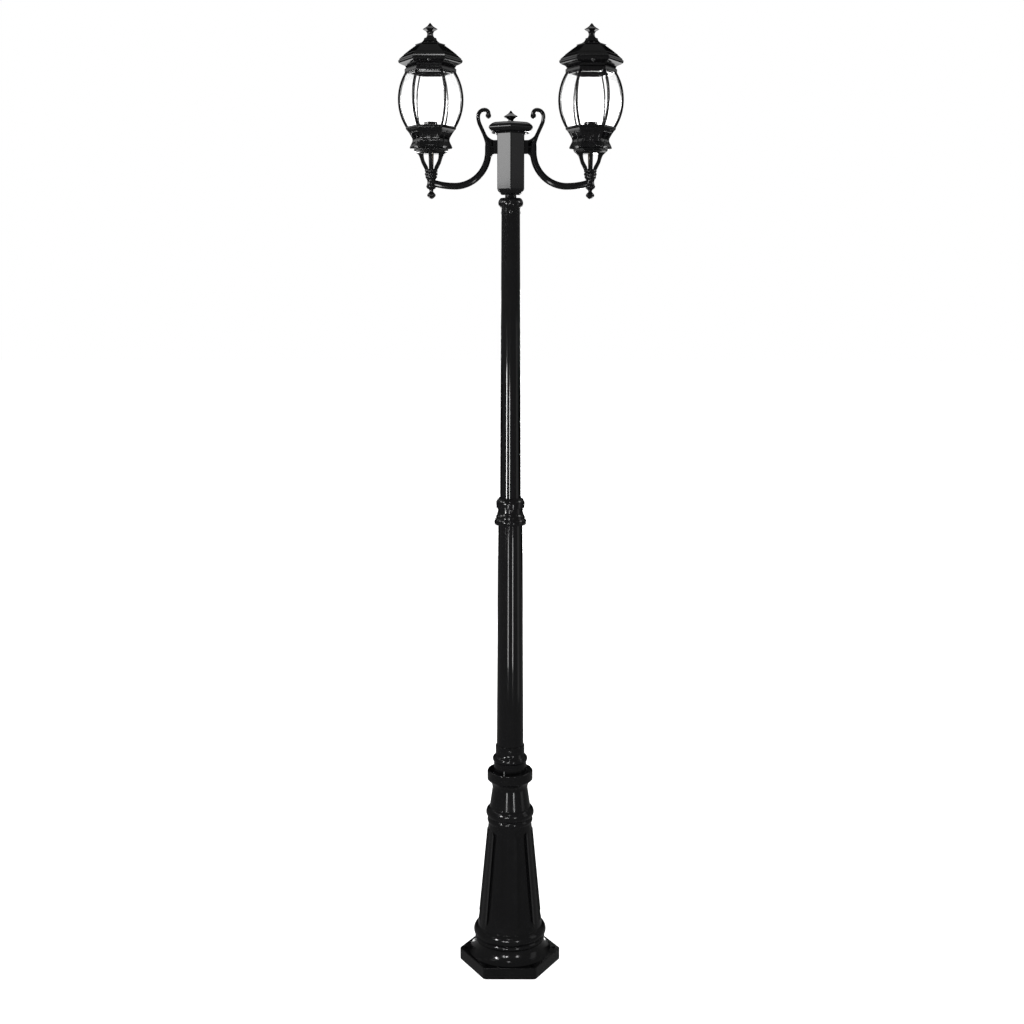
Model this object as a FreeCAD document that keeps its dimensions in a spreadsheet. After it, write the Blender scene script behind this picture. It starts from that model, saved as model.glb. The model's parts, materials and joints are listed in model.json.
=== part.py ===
import FreeCAD, Part
import Sketcher
import math
import os
import re

# Lamp post with two lanterns: millimetres, +Z up, +X to the right-hand lantern, -Y to the front.
# The origin is the middle of the foot on the ground.

SIDES = 6
SCREWS_ROUND_A_COLLAR = 3
STRUTS = 4
FRONT = -90
HALF_FACE = 30
ABOUT_Z = FreeCAD.Vector(0, 0, 1)

SIZES = {
    # Clearances
    "fit_gap": 0.3,
    "running_gap": 0.05,
    "screw_gap": 0.1,
    # Foot
    "plate_corner_radius": 128.5,
    "plate_corner_rounding": 9.0,
    "plate_height": 30.0,
    "skirt_foot_radius": 104.0,
    "skirt_radius": 86.0,
    "skirt_height": 31.0,
    "skirt_hollow": 5.0,
    "lower_ring_bulge": 2.4,
    "lower_ring_height": 11.0,
    "lower_bead_radius": 91.5,
    "lower_bead_height": 28.0,
    "shaft_foot_radius": 81.3,
    "shaft_top_radius": 54.0,
    "shaft_height": 271.0,
    "panel_depth": 2.6,
    "panel_sweep": 43.0,
    "panel_margin": 15.0,
    "upper_ring_bulge": 3.0,
    "upper_ring_height": 14.0,
    "upper_bead_radius": 60.0,
    "upper_bead_height": 28.0,
    "neck_foot_radius": 51.0,
    "neck_radius": 44.0,
    "neck_height": 48.0,
    "neck_flare_hollow": 3.5,
    "neck_flare_height": 23.0,
    "base_rim_radius": 56.6,
    "base_rim_height": 24.0,
    "base_wall": 7.0,
    "anchor_circle_radius": 112.0,
    "anchor_hole_radius": 5.5,
    # Tubes
    "tube_wall": 2.8,
    "tube_socket_depth": 60.0,
    "tube_shelf_height": 10.0,
    "tube_shelf_width": 6.0,
    "lower_tube_foot_radius": 34.1,
    "lower_tube_tip_radius": 29.6,
    "lower_tube_run": 623.0,
    "upper_tube_foot_radius": 25.5,
    "upper_tube_tip_radius": 22.0,
    "upper_tube_run": 687.0,
    # Collar on the foot
    "base_collar_radius": 40.4,
    "base_collar_skirt": 22.0,
    "base_collar_bead_radius": 43.3,
    "base_collar_bead_height": 16.0,
    "base_collar_neck_radius": 36.0,
    "base_collar_taper": 10.0,
    "base_collar_neck_height": 17.0,
    # Collar between the tubes
    "mid_foot_radius": 36.5,
    "mid_bead_radius": 39.3,
    "mid_bead_height": 16.0,
    "mid_shoulder_radius": 35.3,
    "mid_shoulder_height": 5.0,
    "mid_waist_radius": 30.6,
    "mid_taper": 12.0,
    "mid_waist_height": 9.0,
    "mid_lip_radius": 34.5,
    "mid_lip_height": 7.0,
    "mid_dome_height": 17.0,
    "mid_dome_bulge": 3.0,
    "mid_mouth_wall": 1.6,
    "mid_socket_depth": 24.0,
    "mid_web": 5.0,
    "mid_web_width": 6.0,
    # Collar at the top of the tubes
    "top_ring_radius": 29.5,
    "top_ring_height": 23.0,
    "top_ring_lip": 1.2,
    "top_disc": 7.0,
    "plug_depth": 34.0,
    # Domed screws in the three collars
    "screw_head_radius": 4.6,
    "screw_head_height": 2.8,
    "screw_shank_radius": 2.5,
    "top_screw_drop": 10.0,
    # Hub
    "journal_radius": 11.0,
    "journal_length": 62.0,
    "spigot_neck_radius": 13.4,
    "spigot_neck_height": 8.0,
    "spigot_thread_radius": 9.0,
    "spigot_bore_radius": 6.0,
    "spigot_nut_radius": 15.0,
    "spigot_nut_height": 7.0,
    "hub_across_flats": 63.0,
    "hub_foot_across_flats": 44.0,
    "hub_foot_height": 11.0,
    "hub_height": 140.0,
    "hub_wall": 4.0,
    "hub_floor": 12.0,
    "web_width": 12.0,
    "web_height": 8.0,
    "terminal_depth": 20.0,
    "terminal_width": 34.0,
    "terminal_height": 18.0,
    "cap_seat_across_flats": 68.0,
    "cap_throat_across_flats": 72.0,
    "cap_across_flats": 102.0,
    "cap_crown_across_flats": 52.0,
    "cap_throat_height": 2.5,
    "cap_flare_height": 9.0,
    "cap_edge_height": 3.0,
    "cap_crown_height": 10.5,
    "stud_radius": 3.0,
    "stud_drop": 43.0,
    "hub_finial_radius": 19.0,
    "hub_finial_neck_radius": 7.0,
    "hub_finial_neck": 3.5,
    "hub_finial_swell": 7.8,
    "hub_finial_height": 25.5,
    "finial_waist_height": 5.0,
    "finial_bud_height": 9.0,
    "finial_tip_radius": 0.8,
    # Arms
    "pad_level": 108.5,
    "pad_height": 31.0,
    "pad_width": 18.0,
    "arm_offset": 21.0,
    "arm_thickness": 15.5,
    "arm_depth": 14.0,
    "arm_rounding": 4.5,
    "arm_drop": 10.42,
    "arm_bend_radius": 79.0,
    "arm_rise_radius": 255.0,
    "arm_reach": 186.0,
    "scroll_lift": 1.0,
    "scroll_lean": 25.0,
    "scroll_foot_radius": 34.0,
    "scroll_run": 38.0,
    "scroll_shoulder_radius": 45.0,
    "scroll_curl_radius": 15.0,
    "scroll_hook_radius": 9.5,
    "scroll_hook_sweep": 113.0,
    "scroll_waist_thickness": 8.8,
    "scroll_tip_thickness": 9.0,
    "scroll_knob_radius": 6.4,
    "gusset_start": 9.0,
    "gusset_across": 5.5,
    "gusset_rise": 29.0,
    "gusset_hollow": 2.0,
    "gusset_depth": 11.0,
    "boss_radius": 9.0,
    "boss_bead_radius": 11.0,
    "boss_foot_radius": 6.0,
    "boss_rise": 10.0,
    "boss_bead_drop": 6.0,
    "boss_drop": 14.0,
    "lead_radius": 2.5,
    "lead_gap": 0.6,
    "lead_bend_radius": 7.0,
    "arm_bolt_radius": 2.5,
    "arm_bolt_head_radius": 4.0,
    "arm_bolt_head_height": 3.0,
    "arm_bolt_depth": 9.0,
    "arm_bolt_spacing": 20.0,
    # Lantern stem and basket
    "nipple_radius": 4.0,
    "nipple_bore_radius": 2.65,
    "stem_lead_radius": 2.2,
    "collar_radius": 12.6,
    "collar_ring_bulge": 2.0,
    "collar_height": 23.0,
    "collar_base_radius": 11.0,
    "strut_height": 35.0,
    "strut_top_radius": 29.5,
    "strut_thickness": 8.0,
    "strut_bow": 3.0,
    "strut_sweep": 26.0,
    "basket_plate_radius": 39.0,
    "basket_plate_height": 6.0,
    "drop_finial_radius": 10.3,
    "drop_finial_shoulder_radius": 5.5,
    "drop_finial_neck_radius": 3.6,
    "drop_finial_neck": 4.0,
    "drop_finial_swell": 8.0,
    "drop_finial_height": 21.0,
    "drop_stud_length": 8.0,
    # Crown
    "crown_seat_radius": 38.0,
    "crown_rim_radius": 50.0,
    "crown_rim_height": 7.0,
    "crown_waist_radius": 42.4,
    "crown_waist_height": 11.0,
    "crown_shoulder_radius": 47.6,
    "crown_shoulder_height": 19.0,
    "crown_top_radius": 58.2,
    "crown_height": 50.0,
    "crown_wall": 4.0,
    "crown_floor": 6.0,
    "scallop_radius": 19.0,
    "scallop_height": 4.5,
    # Cage and glass
    "cage_ring_height": 5.0,
    "cage_ring_width": 10.0,
    "cage_height": 126.0,
    "rib_foot_radius": 59.0,
    "rib_belly_radius": 76.2,
    "rib_top_radius": 60.0,
    "rib_thickness": 5.0,
    "rib_width": 3.8,
    "cage_flange_height": 10.0,
    "cage_throat_radius": 43.0,
    "upstand_radius": 47.0,
    "upstand_height": 19.0,
    "pane_thickness": 3.0,
    "pane_gap": 0.4,
    "clip_width": 44.0,
    "clip_thickness": 5.0,
    "clip_height": 3.0,
    # Lampholder
    "stem_nut_radius": 8.0,
    "stem_nut_height": 6.0,
    "bracket_radius": 19.5,
    "bracket_thickness": 2.0,
    "bracket_lip": 8.0,
    "lampholder_radius": 17.0,
    "lampholder_rim_radius": 15.8,
    "lampholder_height": 52.0,
    "lampholder_rim_height": 24.0,
    "lampholder_base_bore": 6.0,
    "lampholder_base_depth": 14.0,
    "lampholder_floor": 6.0,
    "sleeve_bore_radius": 13.3,
    "sleeve_wall": 0.7,
    "sleeve_length": 30.0,
    # Roof
    "skirt_seat_radius": 56.0,
    "skirt_eave_radius": 58.5,
    "roof_skirt_height": 5.0,
    "soffit_rise": 3.4,
    "eave_foot_radius": 69.5,
    "eave_radius": 75.0,
    "eave_roll": 8.0,
    "eave_shoulder": 5.0,
    "eave_top_radius": 70.5,
    "eave_height": 18.0,
    "tier_foot_radius": 33.0,
    "slope_height": 28.0,
    "tier_lip_radius": 34.5,
    "tier_lip_height": 2.0,
    "tier_waist_radius": 22.0,
    "tier_waist_height": 3.5,
    "tier_shoulder_radius": 16.4,
    "tier_shoulder_height": 8.0,
    "tier_top_radius": 14.0,
    "tier_height": 14.0,
    "roof_wall": 4.0,
    "roof_finial_radius": 17.4,
    "roof_finial_base_radius": 10.5,
    "roof_finial_neck_radius": 7.4,
    "roof_finial_base": 6.0,
    "roof_finial_neck": 4.0,
    "roof_finial_swell": 9.3,
    "roof_finial_height": 33.5,
    "roof_stud_length": 8.0,
    "lock_screw_rise": 5.0,
    "lock_boss_radius": 4.8,
    "lock_screw_head_radius": 4.0,
    "lock_screw_head_height": 3.0,
    "lock_screw_shank_radius": 2.2,
}


def up(*steps):
    """Level reached by a list of steps, as one expression."""
    return "(" + " + ".join(steps) + ")"


# Levels of the foot, from the ground
LOWER_RING = up("plate_height", "skirt_height")
LOWER_BEAD = up(LOWER_RING, "lower_ring_height")
SHAFT = up(LOWER_BEAD, "lower_bead_height")
UPPER_RING = up(SHAFT, "shaft_height")
UPPER_BEAD = up(UPPER_RING, "upper_ring_height")
NECK = up(UPPER_BEAD, "upper_bead_height")
NECK_WAIST = up(NECK, "neck_height")
BASE_RIM = up(NECK_WAIST, "neck_flare_height")
BASE_TOP = up(BASE_RIM, "base_rim_height")
TUBE_SEAT = up(BASE_TOP, "-tube_socket_depth")

# Levels of the tubes and their collars
BASE_COLLAR_BEAD = up(BASE_TOP, "base_collar_skirt")
BASE_COLLAR_TAPER = up(BASE_COLLAR_BEAD, "base_collar_bead_height")
BASE_COLLAR_NECK = up(BASE_COLLAR_TAPER, "base_collar_taper")
BASE_COLLAR_TOP = up(BASE_COLLAR_NECK, "base_collar_neck_height")
MID = up(BASE_TOP, "lower_tube_run")
MID_SHOULDER = up(MID, "mid_bead_height")
MID_TAPER = up(MID_SHOULDER, "mid_shoulder_height")
MID_WAIST = up(MID_TAPER, "mid_taper")
MID_LIP = up(MID_WAIST, "mid_waist_height")
MID_DOME = up(MID_LIP, "mid_lip_height")
MID_TOP = up(MID_DOME, "mid_dome_height")
MID_WEB = up(MID, "mid_socket_depth")
UPPER_SEAT = up(MID_WEB, "mid_web")
TOP_RING = up(MID_TOP, "upper_tube_run")
TOP = up(TOP_RING, "top_ring_height")
TUBE_END = up(TOP, "-top_disc")

# Levels of the hub
HUB = up(TOP, "spigot_neck_height")
HUB_FLOOR = up(HUB, "hub_floor")
HUB_TOP = up(HUB, "hub_height")
PAD = up(HUB, "pad_level")
WEB = up(PAD, "terminal_height / 2")
CAP_TOP = up(HUB_TOP, "cap_throat_height", "cap_flare_height", "cap_edge_height", "cap_crown_height")

# Middle line of an arm, from the hub's axis
HUB_FLAT = "hub_across_flats / 2"
STAND = up(HUB_FLAT, "arm_offset")
LOWEST = up(STAND, "arm_bend_radius")
RISE_RUN = "(arm_reach - " + LOWEST + ")"
ARM_RISE = "(arm_rise_radius - sqrt(arm_rise_radius ^ 2 - " + RISE_RUN + " ^ 2))"
BOSS = up(PAD, "-arm_drop", "-arm_bend_radius", ARM_RISE)

# Levels of a lantern
BOSS_FOOT = up(BOSS, "-boss_drop")
SEAT = up(BOSS, "boss_rise")
STRUT = up(SEAT, "collar_height")
BASKET_PLATE = up(STRUT, "strut_height")
CROWN = up(BASKET_PLATE, "basket_plate_height")
CROWN_RIM = up(CROWN, "crown_rim_height")
CROWN_WAIST = up(CROWN_RIM, "crown_waist_height")
CROWN_SHOULDER = up(CROWN_WAIST, "crown_shoulder_height")
CROWN_TOP = up(CROWN, "crown_height")
CROWN_FLOOR = up(CROWN, "crown_floor")
GLASS = up(CROWN_TOP, "cage_ring_height")
CAGE_TOP = up(CROWN_TOP, "cage_height")
ROOF = up(CAGE_TOP, "cage_flange_height")
EAVE = up(ROOF, "roof_skirt_height")
EAVE_TOP = up(EAVE, "eave_height")
TIER = up(EAVE_TOP, "slope_height")
TIER_LIP = up(TIER, "tier_lip_height")
TIER_WAIST = up(TIER_LIP, "tier_waist_height")
TIER_SHOULDER = up(TIER_LIP, "tier_shoulder_height")
ROOF_TOP = up(TIER_LIP, "tier_height")
BRACKET = up(CROWN_FLOOR, "stem_nut_height")
LAMPHOLDER = up(BRACKET, "bracket_thickness")
LEAD_END = up(LAMPHOLDER, "lampholder_base_depth")
SOCKET = up(LEAD_END, "lampholder_floor")
LAMPHOLDER_RIM = up(LAMPHOLDER, "lampholder_height")

DOC = FreeCAD.newDocument("lamp_post")
SHEET = DOC.addObject("Spreadsheet::Sheet", "Sizes")
NODES = []


def fill_sheet():
    for row, (name, size) in enumerate(SIZES.items(), start=1):
        SHEET.set(f"A{row}", name)
        SHEET.set(f"B{row}", str(size))
        SHEET.setAlias(f"B{row}", name)
    DOC.recompute()


def linked(text):
    """The expression with every size read from the sheet."""
    return re.sub(r"[a-z_]+", lambda word: "Sizes." + word[0] if word[0] in SIZES else word[0], text)


def measure(text):
    """The value of an expression, in millimetres or degrees."""
    return float(SHEET.evalExpression(linked(text)))


def node(item, label):
    item.Label = label
    NODES.append(item)
    return item


def origin_item(body, role):
    return next(item for item in body.Origin.OriginFeatures if item.Role == role)


# Outlines and turned bodies

def arc_between(start, end, bulge):
    """Arc that bulges to the right of the way from start to end, and its radius."""
    chord = end - start
    side = FreeCAD.Vector(chord.y, -chord.x, 0).normalize()
    side = side * math.copysign(1, bulge)
    radius = chord.Length ** 2 / 8 / abs(bulge) + abs(bulge) / 2
    centre = (start + end) * 0.5 - side * (radius - abs(bulge))
    first, last = (start, end) if bulge > 0 else (end, start)
    first_angle = math.atan2(first.y - centre.y, first.x - centre.x)
    last_angle = math.atan2(last.y - centre.y, last.x - centre.x)
    if last_angle < first_angle:
        last_angle += 2 * math.pi
    return Part.ArcOfCircle(Part.Circle(centre, ABOUT_Z, radius), first_angle, last_angle)


def draw(body, outline, name):
    """Closed sketch through (across, up) corners; a third entry bows the line to the next corner."""
    sketch = body.newObject("Sketcher::SketchObject", name)
    sketch.AttachmentSupport = [(origin_item(body, "XZ_Plane"), "")]
    sketch.MapMode = "FlatFace"
    corners = [FreeCAD.Vector(measure(corner[0]), measure(corner[1]), 0) for corner in outline]
    ends = []
    rules = []
    expressions = {}
    for index, corner in enumerate(outline):
        start = corners[index]
        after = (index + 1) % len(outline)
        if len(corner) == 3:
            bulge = measure(corner[2])
            sketch.addGeometry(arc_between(start, corners[after], bulge))
            ends.append((1, 2) if bulge > 0 else (2, 1))
            across = f"({outline[after][0]} - {corner[0]})"
            rise = f"({outline[after][1]} - {corner[1]})"
            radius = f"({across} ^ 2 + {rise} ^ 2) / 8 / abs({corner[2]}) + abs({corner[2]}) / 2"
            expressions[len(rules)] = radius
            rules.append(Sketcher.Constraint("Radius", index, measure(radius)))
        else:
            sketch.addGeometry(Part.LineSegment(start, corners[after]))
            ends.append((1, 2))
    for index, corner in enumerate(outline):
        after = (index + 1) % len(outline)
        rules.append(Sketcher.Constraint("Coincident", index, ends[index][1], after, ends[after][0]))
        for kind, text, axis in (("DistanceX", corner[0], -2), ("DistanceY", corner[1], -1)):
            if text == "0":
                rules.append(Sketcher.Constraint("PointOnObject", index, ends[index][0], axis))
                continue
            expressions[len(rules)] = text
            rules.append(Sketcher.Constraint(kind, -1, 1, index, ends[index][0], measure(text)))
    sketch.addConstraint(rules)
    for index, text in expressions.items():
        sketch.setExpression(f"Constraints[{index}]", linked(text))
    return sketch


def turn(body, outline, name, kind="Revolution", sweep=None):
    """Turn an outline about Z, all the way or through a sweep about the X axis."""
    feature = body.newObject("PartDesign::" + kind, name)
    feature.Profile = draw(body, outline, name + "_outline")
    feature.ReferenceAxis = (feature.Profile[0], ["V_Axis"])
    feature.Angle = 360
    if sweep:
        feature.Midplane = True
        feature.setExpression("Angle", linked(sweep))
    body.Tip = feature
    DOC.recompute()
    return feature


def ring_of(body, feature, count):
    pattern = body.newObject("PartDesign::PolarPattern", feature.Name + "_ring")
    pattern.Originals = [feature]
    pattern.Axis = (origin_item(body, "Z_Axis"), [""])
    pattern.Angle = 360
    pattern.Occurrences = count
    body.Tip = pattern
    DOC.recompute()
    return pattern


def new_body(name, axis_x=None):
    body = DOC.addObject("PartDesign::Body", name)
    body.AllowCompound = True
    if axis_x:
        body.setExpression("Placement.Base.x", linked(axis_x))
    return body


def turned(name, outline, axis_x=None):
    body = new_body(name, axis_x)
    turn(body, outline, name + "_turning")
    return body


def sleeve_outline(bore, radius, low, high):
    return [(bore, low), (radius, low), (radius, high), (bore, high)]


def set_place(item, place, rotation=None):
    """Place an item by three expressions, and turn it."""
    if rotation:
        item.Placement = FreeCAD.Placement(FreeCAD.Vector(), rotation)
    for axis, text in zip("xyz", place):
        item.setExpression("Placement.Base." + axis, linked(text))


def outward(angle):
    """Rotation that lays Z along a level line at an angle from X."""
    radians = math.radians(angle)
    return FreeCAD.Rotation(ABOUT_Z, FreeCAD.Vector(math.cos(radians), math.sin(radians), 0))


def radial_holes(body, name, radius, level, reach, count, angle=FRONT):
    """Holes from the axis outwards, evenly round a body."""
    hole = body.newObject("PartDesign::SubtractiveCylinder", name)
    hole.setExpression("Radius", linked(radius))
    hole.setExpression("Height", linked(reach))
    set_place(hole, ("0", "0", level), outward(angle))
    body.Tip = hole
    DOC.recompute()
    return ring_of(body, hole, count)


def hex_prism(body, name, kind, radius, low, height):
    prism = body.newObject(f"PartDesign::{kind}Prism", name)
    prism.Polygon = SIDES
    prism.setExpression("Circumradius", linked(radius))
    prism.setExpression("Height", linked(height))
    prism.setExpression("Placement.Base.z", linked(low))
    body.Tip = prism
    DOC.recompute()
    return prism


# Solids built from primitives

def cylinder(name, radius, length, place, rotation=None):
    rod = DOC.addObject("Part::Cylinder", name)
    rod.setExpression("Radius", linked(radius))
    rod.setExpression("Height", linked(length))
    set_place(rod, place, rotation)
    return rod


def box(name, sizes, place, rotation=None):
    block = DOC.addObject("Part::Box", name)
    for side, text in zip(("Length", "Width", "Height"), sizes):
        block.setExpression(side, linked(text))
    set_place(block, place, rotation)
    return block


def hex_stack(name, tiers, angle=0, ruled=True):
    """Six-sided solid through (corner radius, level) tiers."""
    sections = []
    for index, (radius, level) in enumerate(tiers):
        section = DOC.addObject("Part::RegularPolygon", f"{name}_tier_{index}")
        section.Polygon = SIDES
        section.setExpression("Circumradius", linked(radius))
        set_place(section, ("0", "0", level), FreeCAD.Rotation(ABOUT_Z, angle))
        sections.append(section)
    loft = DOC.addObject("Part::Loft", name)
    loft.Sections = sections
    loft.Solid = True
    loft.Ruled = ruled
    return loft


def joined(name, items):
    fusion = DOC.addObject("Part::MultiFuse", name)
    fusion.Shapes = items
    return fusion


def cut(name, base, tools):
    result = DOC.addObject("Part::Cut", name)
    result.Base = base
    result.Tool = tools[0] if len(tools) == 1 else joined(name + "_tools", tools)
    return result


def group(name, items):
    compound = DOC.addObject("Part::Compound", name)
    compound.Links = items
    return compound


def corner_radius(across_flats):
    return f"({across_flats}) / 2 / cos({HALF_FACE})"


def domed_screw(name, head_radius, head_height, shank_radius, reach):
    """Screw along Z with its tip at the origin and its domed head above."""
    return turned(name, [
        ("0", "0"), (shank_radius, "0"), (shank_radius, reach), (head_radius, reach),
        (head_radius, f"{reach} + {head_height} * 0.3", f"{head_height} * 0.2"),
        (f"{head_radius} * 0.35", f"{reach} + {head_height}"), ("0", f"{reach} + {head_height}")])


# Post

def base_casting():
    body = new_body("base_casting")
    plate = hex_prism(body, "foot_plate", "Additive", "plate_corner_radius", "0", "plate_height")
    uprights = [
        f"Edge{index}" for index, edge in enumerate(plate.Shape.Edges, start=1)
        if abs(edge.tangentAt(edge.FirstParameter).z) > 0.99]
    rounding = body.newObject("PartDesign::Fillet", "plate_rounding")
    rounding.Base = (plate, uprights)
    rounding.setExpression("Radius", linked("plate_corner_rounding"))
    body.Tip = rounding
    DOC.recompute()
    turn(body, [
        ("0", "plate_height / 2"), ("skirt_foot_radius", "plate_height / 2"),
        ("skirt_foot_radius", "plate_height", "-skirt_hollow"),
        ("skirt_radius", LOWER_RING, "lower_ring_bulge"),
        ("skirt_radius", LOWER_BEAD, "lower_bead_radius - (skirt_radius + shaft_foot_radius) / 2"),
        ("shaft_foot_radius", SHAFT),
        ("shaft_top_radius", UPPER_RING, "upper_ring_bulge"),
        ("shaft_top_radius", UPPER_BEAD, "upper_bead_radius - (shaft_top_radius + neck_foot_radius) / 2"),
        ("neck_foot_radius", NECK),
        ("neck_radius", NECK_WAIST, "-neck_flare_hollow"),
        ("base_rim_radius", BASE_RIM), ("base_rim_radius", BASE_TOP), ("0", BASE_TOP)], "foot_turning")
    shelf = up(TUBE_SEAT, "-tube_shelf_height")
    socket = up("lower_tube_foot_radius", "fit_gap")
    shelf_bore = up("lower_tube_foot_radius", "-tube_shelf_width")
    turn(body, [
        ("0", "0"), ("skirt_radius - base_wall", "0"), ("skirt_radius - base_wall", LOWER_RING),
        ("shaft_top_radius - base_wall", UPPER_RING), ("neck_radius - base_wall", shelf),
        (shelf_bore, shelf), (shelf_bore, TUBE_SEAT), (socket, TUBE_SEAT),
        (socket, BASE_TOP), ("0", BASE_TOP)], "foot_hollow", kind="Groove")
    taper = "(shaft_foot_radius - shaft_top_radius) / shaft_height"
    panel_low = f"(shaft_foot_radius - {taper} * panel_margin)"
    panel_high = f"(shaft_top_radius + {taper} * panel_margin)"
    panel = turn(body, [
        (panel_low + " - panel_depth", up(SHAFT, "panel_margin")),
        (panel_low + " + panel_depth", up(SHAFT, "panel_margin")),
        (panel_high + " + panel_depth", up(UPPER_RING, "-panel_margin")),
        (panel_high + " - panel_depth", up(UPPER_RING, "-panel_margin"))],
        "foot_panel", kind="Groove", sweep="panel_sweep")
    ring_of(body, panel, SIDES)
    anchor = body.newObject("PartDesign::SubtractiveCylinder", "anchor_hole")
    anchor.setExpression("Radius", linked("anchor_hole_radius"))
    anchor.setExpression("Height", linked(LOWER_RING))
    anchor.setExpression("Placement.Base.x", linked("anchor_circle_radius"))
    body.Tip = anchor
    DOC.recompute()
    ring_of(body, anchor, SIDES)
    node(body, "base_casting")


LOWER_TAPER = f"(lower_tube_foot_radius - lower_tube_tip_radius) / ({MID_WEB} - {TUBE_SEAT})"
UPPER_TAPER = f"(upper_tube_foot_radius - upper_tube_tip_radius) / ({TUBE_END} - {UPPER_SEAT})"
LOWER_AT_COLLAR = f"(lower_tube_foot_radius - {LOWER_TAPER} * tube_socket_depth)"
LOWER_AT_MID = f"(lower_tube_tip_radius + {LOWER_TAPER} * mid_socket_depth)"
UPPER_AT_RING = f"(upper_tube_tip_radius + {UPPER_TAPER} * (top_ring_height - top_disc))"
UPPER_AT_SCREW = f"({UPPER_AT_RING} + {UPPER_TAPER} * (top_screw_drop))"
BASE_SCREW = up(BASE_COLLAR_NECK, "base_collar_neck_height / 2")
MID_SCREW = up(MID_WAIST, "mid_waist_height / 2")
TOP_SCREW = up(TOP_RING, "-top_screw_drop")
SCREW_HOLE = up("screw_shank_radius", "screw_gap")
JOURNAL_BORE = up("journal_radius", "running_gap")


def tapered_tube(name, foot, tip, low, high):
    return turned(name, [
        (foot + " - tube_wall", low), (foot, low), (tip, high), (tip + " - tube_wall", high)])


def tubes():
    node(tapered_tube("lower_tube", "lower_tube_foot_radius", "lower_tube_tip_radius", TUBE_SEAT, MID_WEB),
         "lower_tube")
    upper = tapered_tube(
        "upper_tube", "upper_tube_foot_radius", "upper_tube_tip_radius", UPPER_SEAT, TUBE_END)
    radial_holes(upper, "upper_tube_holes", SCREW_HOLE, TOP_SCREW, "top_ring_radius", SCREWS_ROUND_A_COLLAR)
    node(upper, "upper_tube")


def base_collar():
    bore = up(LOWER_AT_COLLAR, "fit_gap")
    body = turned("base_collar", [
        (bore, BASE_TOP), ("base_collar_radius", BASE_TOP),
        ("base_collar_radius", BASE_COLLAR_BEAD, "base_collar_bead_radius - base_collar_radius + 1"),
        ("base_collar_radius - 2", BASE_COLLAR_TAPER, "-1"),
        ("base_collar_neck_radius", BASE_COLLAR_NECK),
        ("base_collar_neck_radius", BASE_COLLAR_TOP), (bore, BASE_COLLAR_TOP)])
    radial_holes(body, "base_collar_holes", SCREW_HOLE, BASE_SCREW, "base_collar_bead_radius",
                 SCREWS_ROUND_A_COLLAR)
    node(body, "base_collar")


def mid_collar():
    lower_bore = up(LOWER_AT_MID, "fit_gap")
    upper_bore = up("upper_tube_foot_radius", "fit_gap")
    web_bore = "(upper_tube_foot_radius - mid_web_width)"
    mouth = up(upper_bore, "mid_mouth_wall")
    body = turned("mid_collar", [
        (lower_bore, MID),
        ("mid_foot_radius", MID, "mid_bead_radius - (mid_foot_radius + mid_shoulder_radius) / 2"),
        ("mid_shoulder_radius", MID_SHOULDER), ("mid_shoulder_radius", MID_TAPER, "-1"),
        ("mid_waist_radius", MID_WAIST), ("mid_waist_radius", MID_LIP),
        ("mid_lip_radius", MID_LIP), ("mid_lip_radius", MID_DOME, "mid_dome_bulge"),
        (mouth, MID_TOP), (upper_bore, MID_TOP), (upper_bore, UPPER_SEAT),
        (web_bore, UPPER_SEAT), (web_bore, MID_WEB), (lower_bore, MID_WEB)])
    radial_holes(body, "mid_collar_holes", SCREW_HOLE, MID_SCREW, "mid_bead_radius", SCREWS_ROUND_A_COLLAR)
    node(body, "mid_collar")


def top_collar():
    plug = "(upper_tube_tip_radius - tube_wall - fit_gap)"
    plug_foot = up(TOP_RING, "-plug_depth")
    bore = up(UPPER_AT_RING, "fit_gap")
    lip = up(bore, "top_ring_lip")
    body = turned("top_collar", [
        (JOURNAL_BORE, plug_foot), (plug, plug_foot), (plug, TUBE_END), (bore, TUBE_END),
        (bore, TOP_RING), (lip, TOP_RING, f"top_ring_radius - {lip}"), (lip, TOP), (JOURNAL_BORE, TOP)])
    radial_holes(body, "top_collar_holes", SCREW_HOLE, TOP_SCREW, plug + " + fit_gap", SCREWS_ROUND_A_COLLAR)
    node(body, "top_collar")


def tube_set_screws():
    collars = (
        ("base", BASE_SCREW, up(LOWER_AT_COLLAR, "fit_gap"), "base_collar_neck_radius"),
        ("mid", MID_SCREW, up("upper_tube_foot_radius", "fit_gap"), "mid_waist_radius"),
        ("top", TOP_SCREW, up(JOURNAL_BORE, "fit_gap"), UPPER_AT_SCREW))
    screws = []
    for collar, level, tip, seat in collars:
        for index in range(SCREWS_ROUND_A_COLLAR):
            angle = FRONT + 360 / SCREWS_ROUND_A_COLLAR * index
            screw = domed_screw(f"{collar}_screw_{index}", "screw_head_radius", "screw_head_height",
                                "screw_shank_radius", f"({seat} - {tip} + screw_gap * 2)")
            set_place(screw, (f"{tip} * cos({angle})", f"{tip} * sin({angle})", level), outward(angle))
            screws.append(screw)
    node(group("tube_set_screws", screws), "tube_set_screws")


# Head

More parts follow.
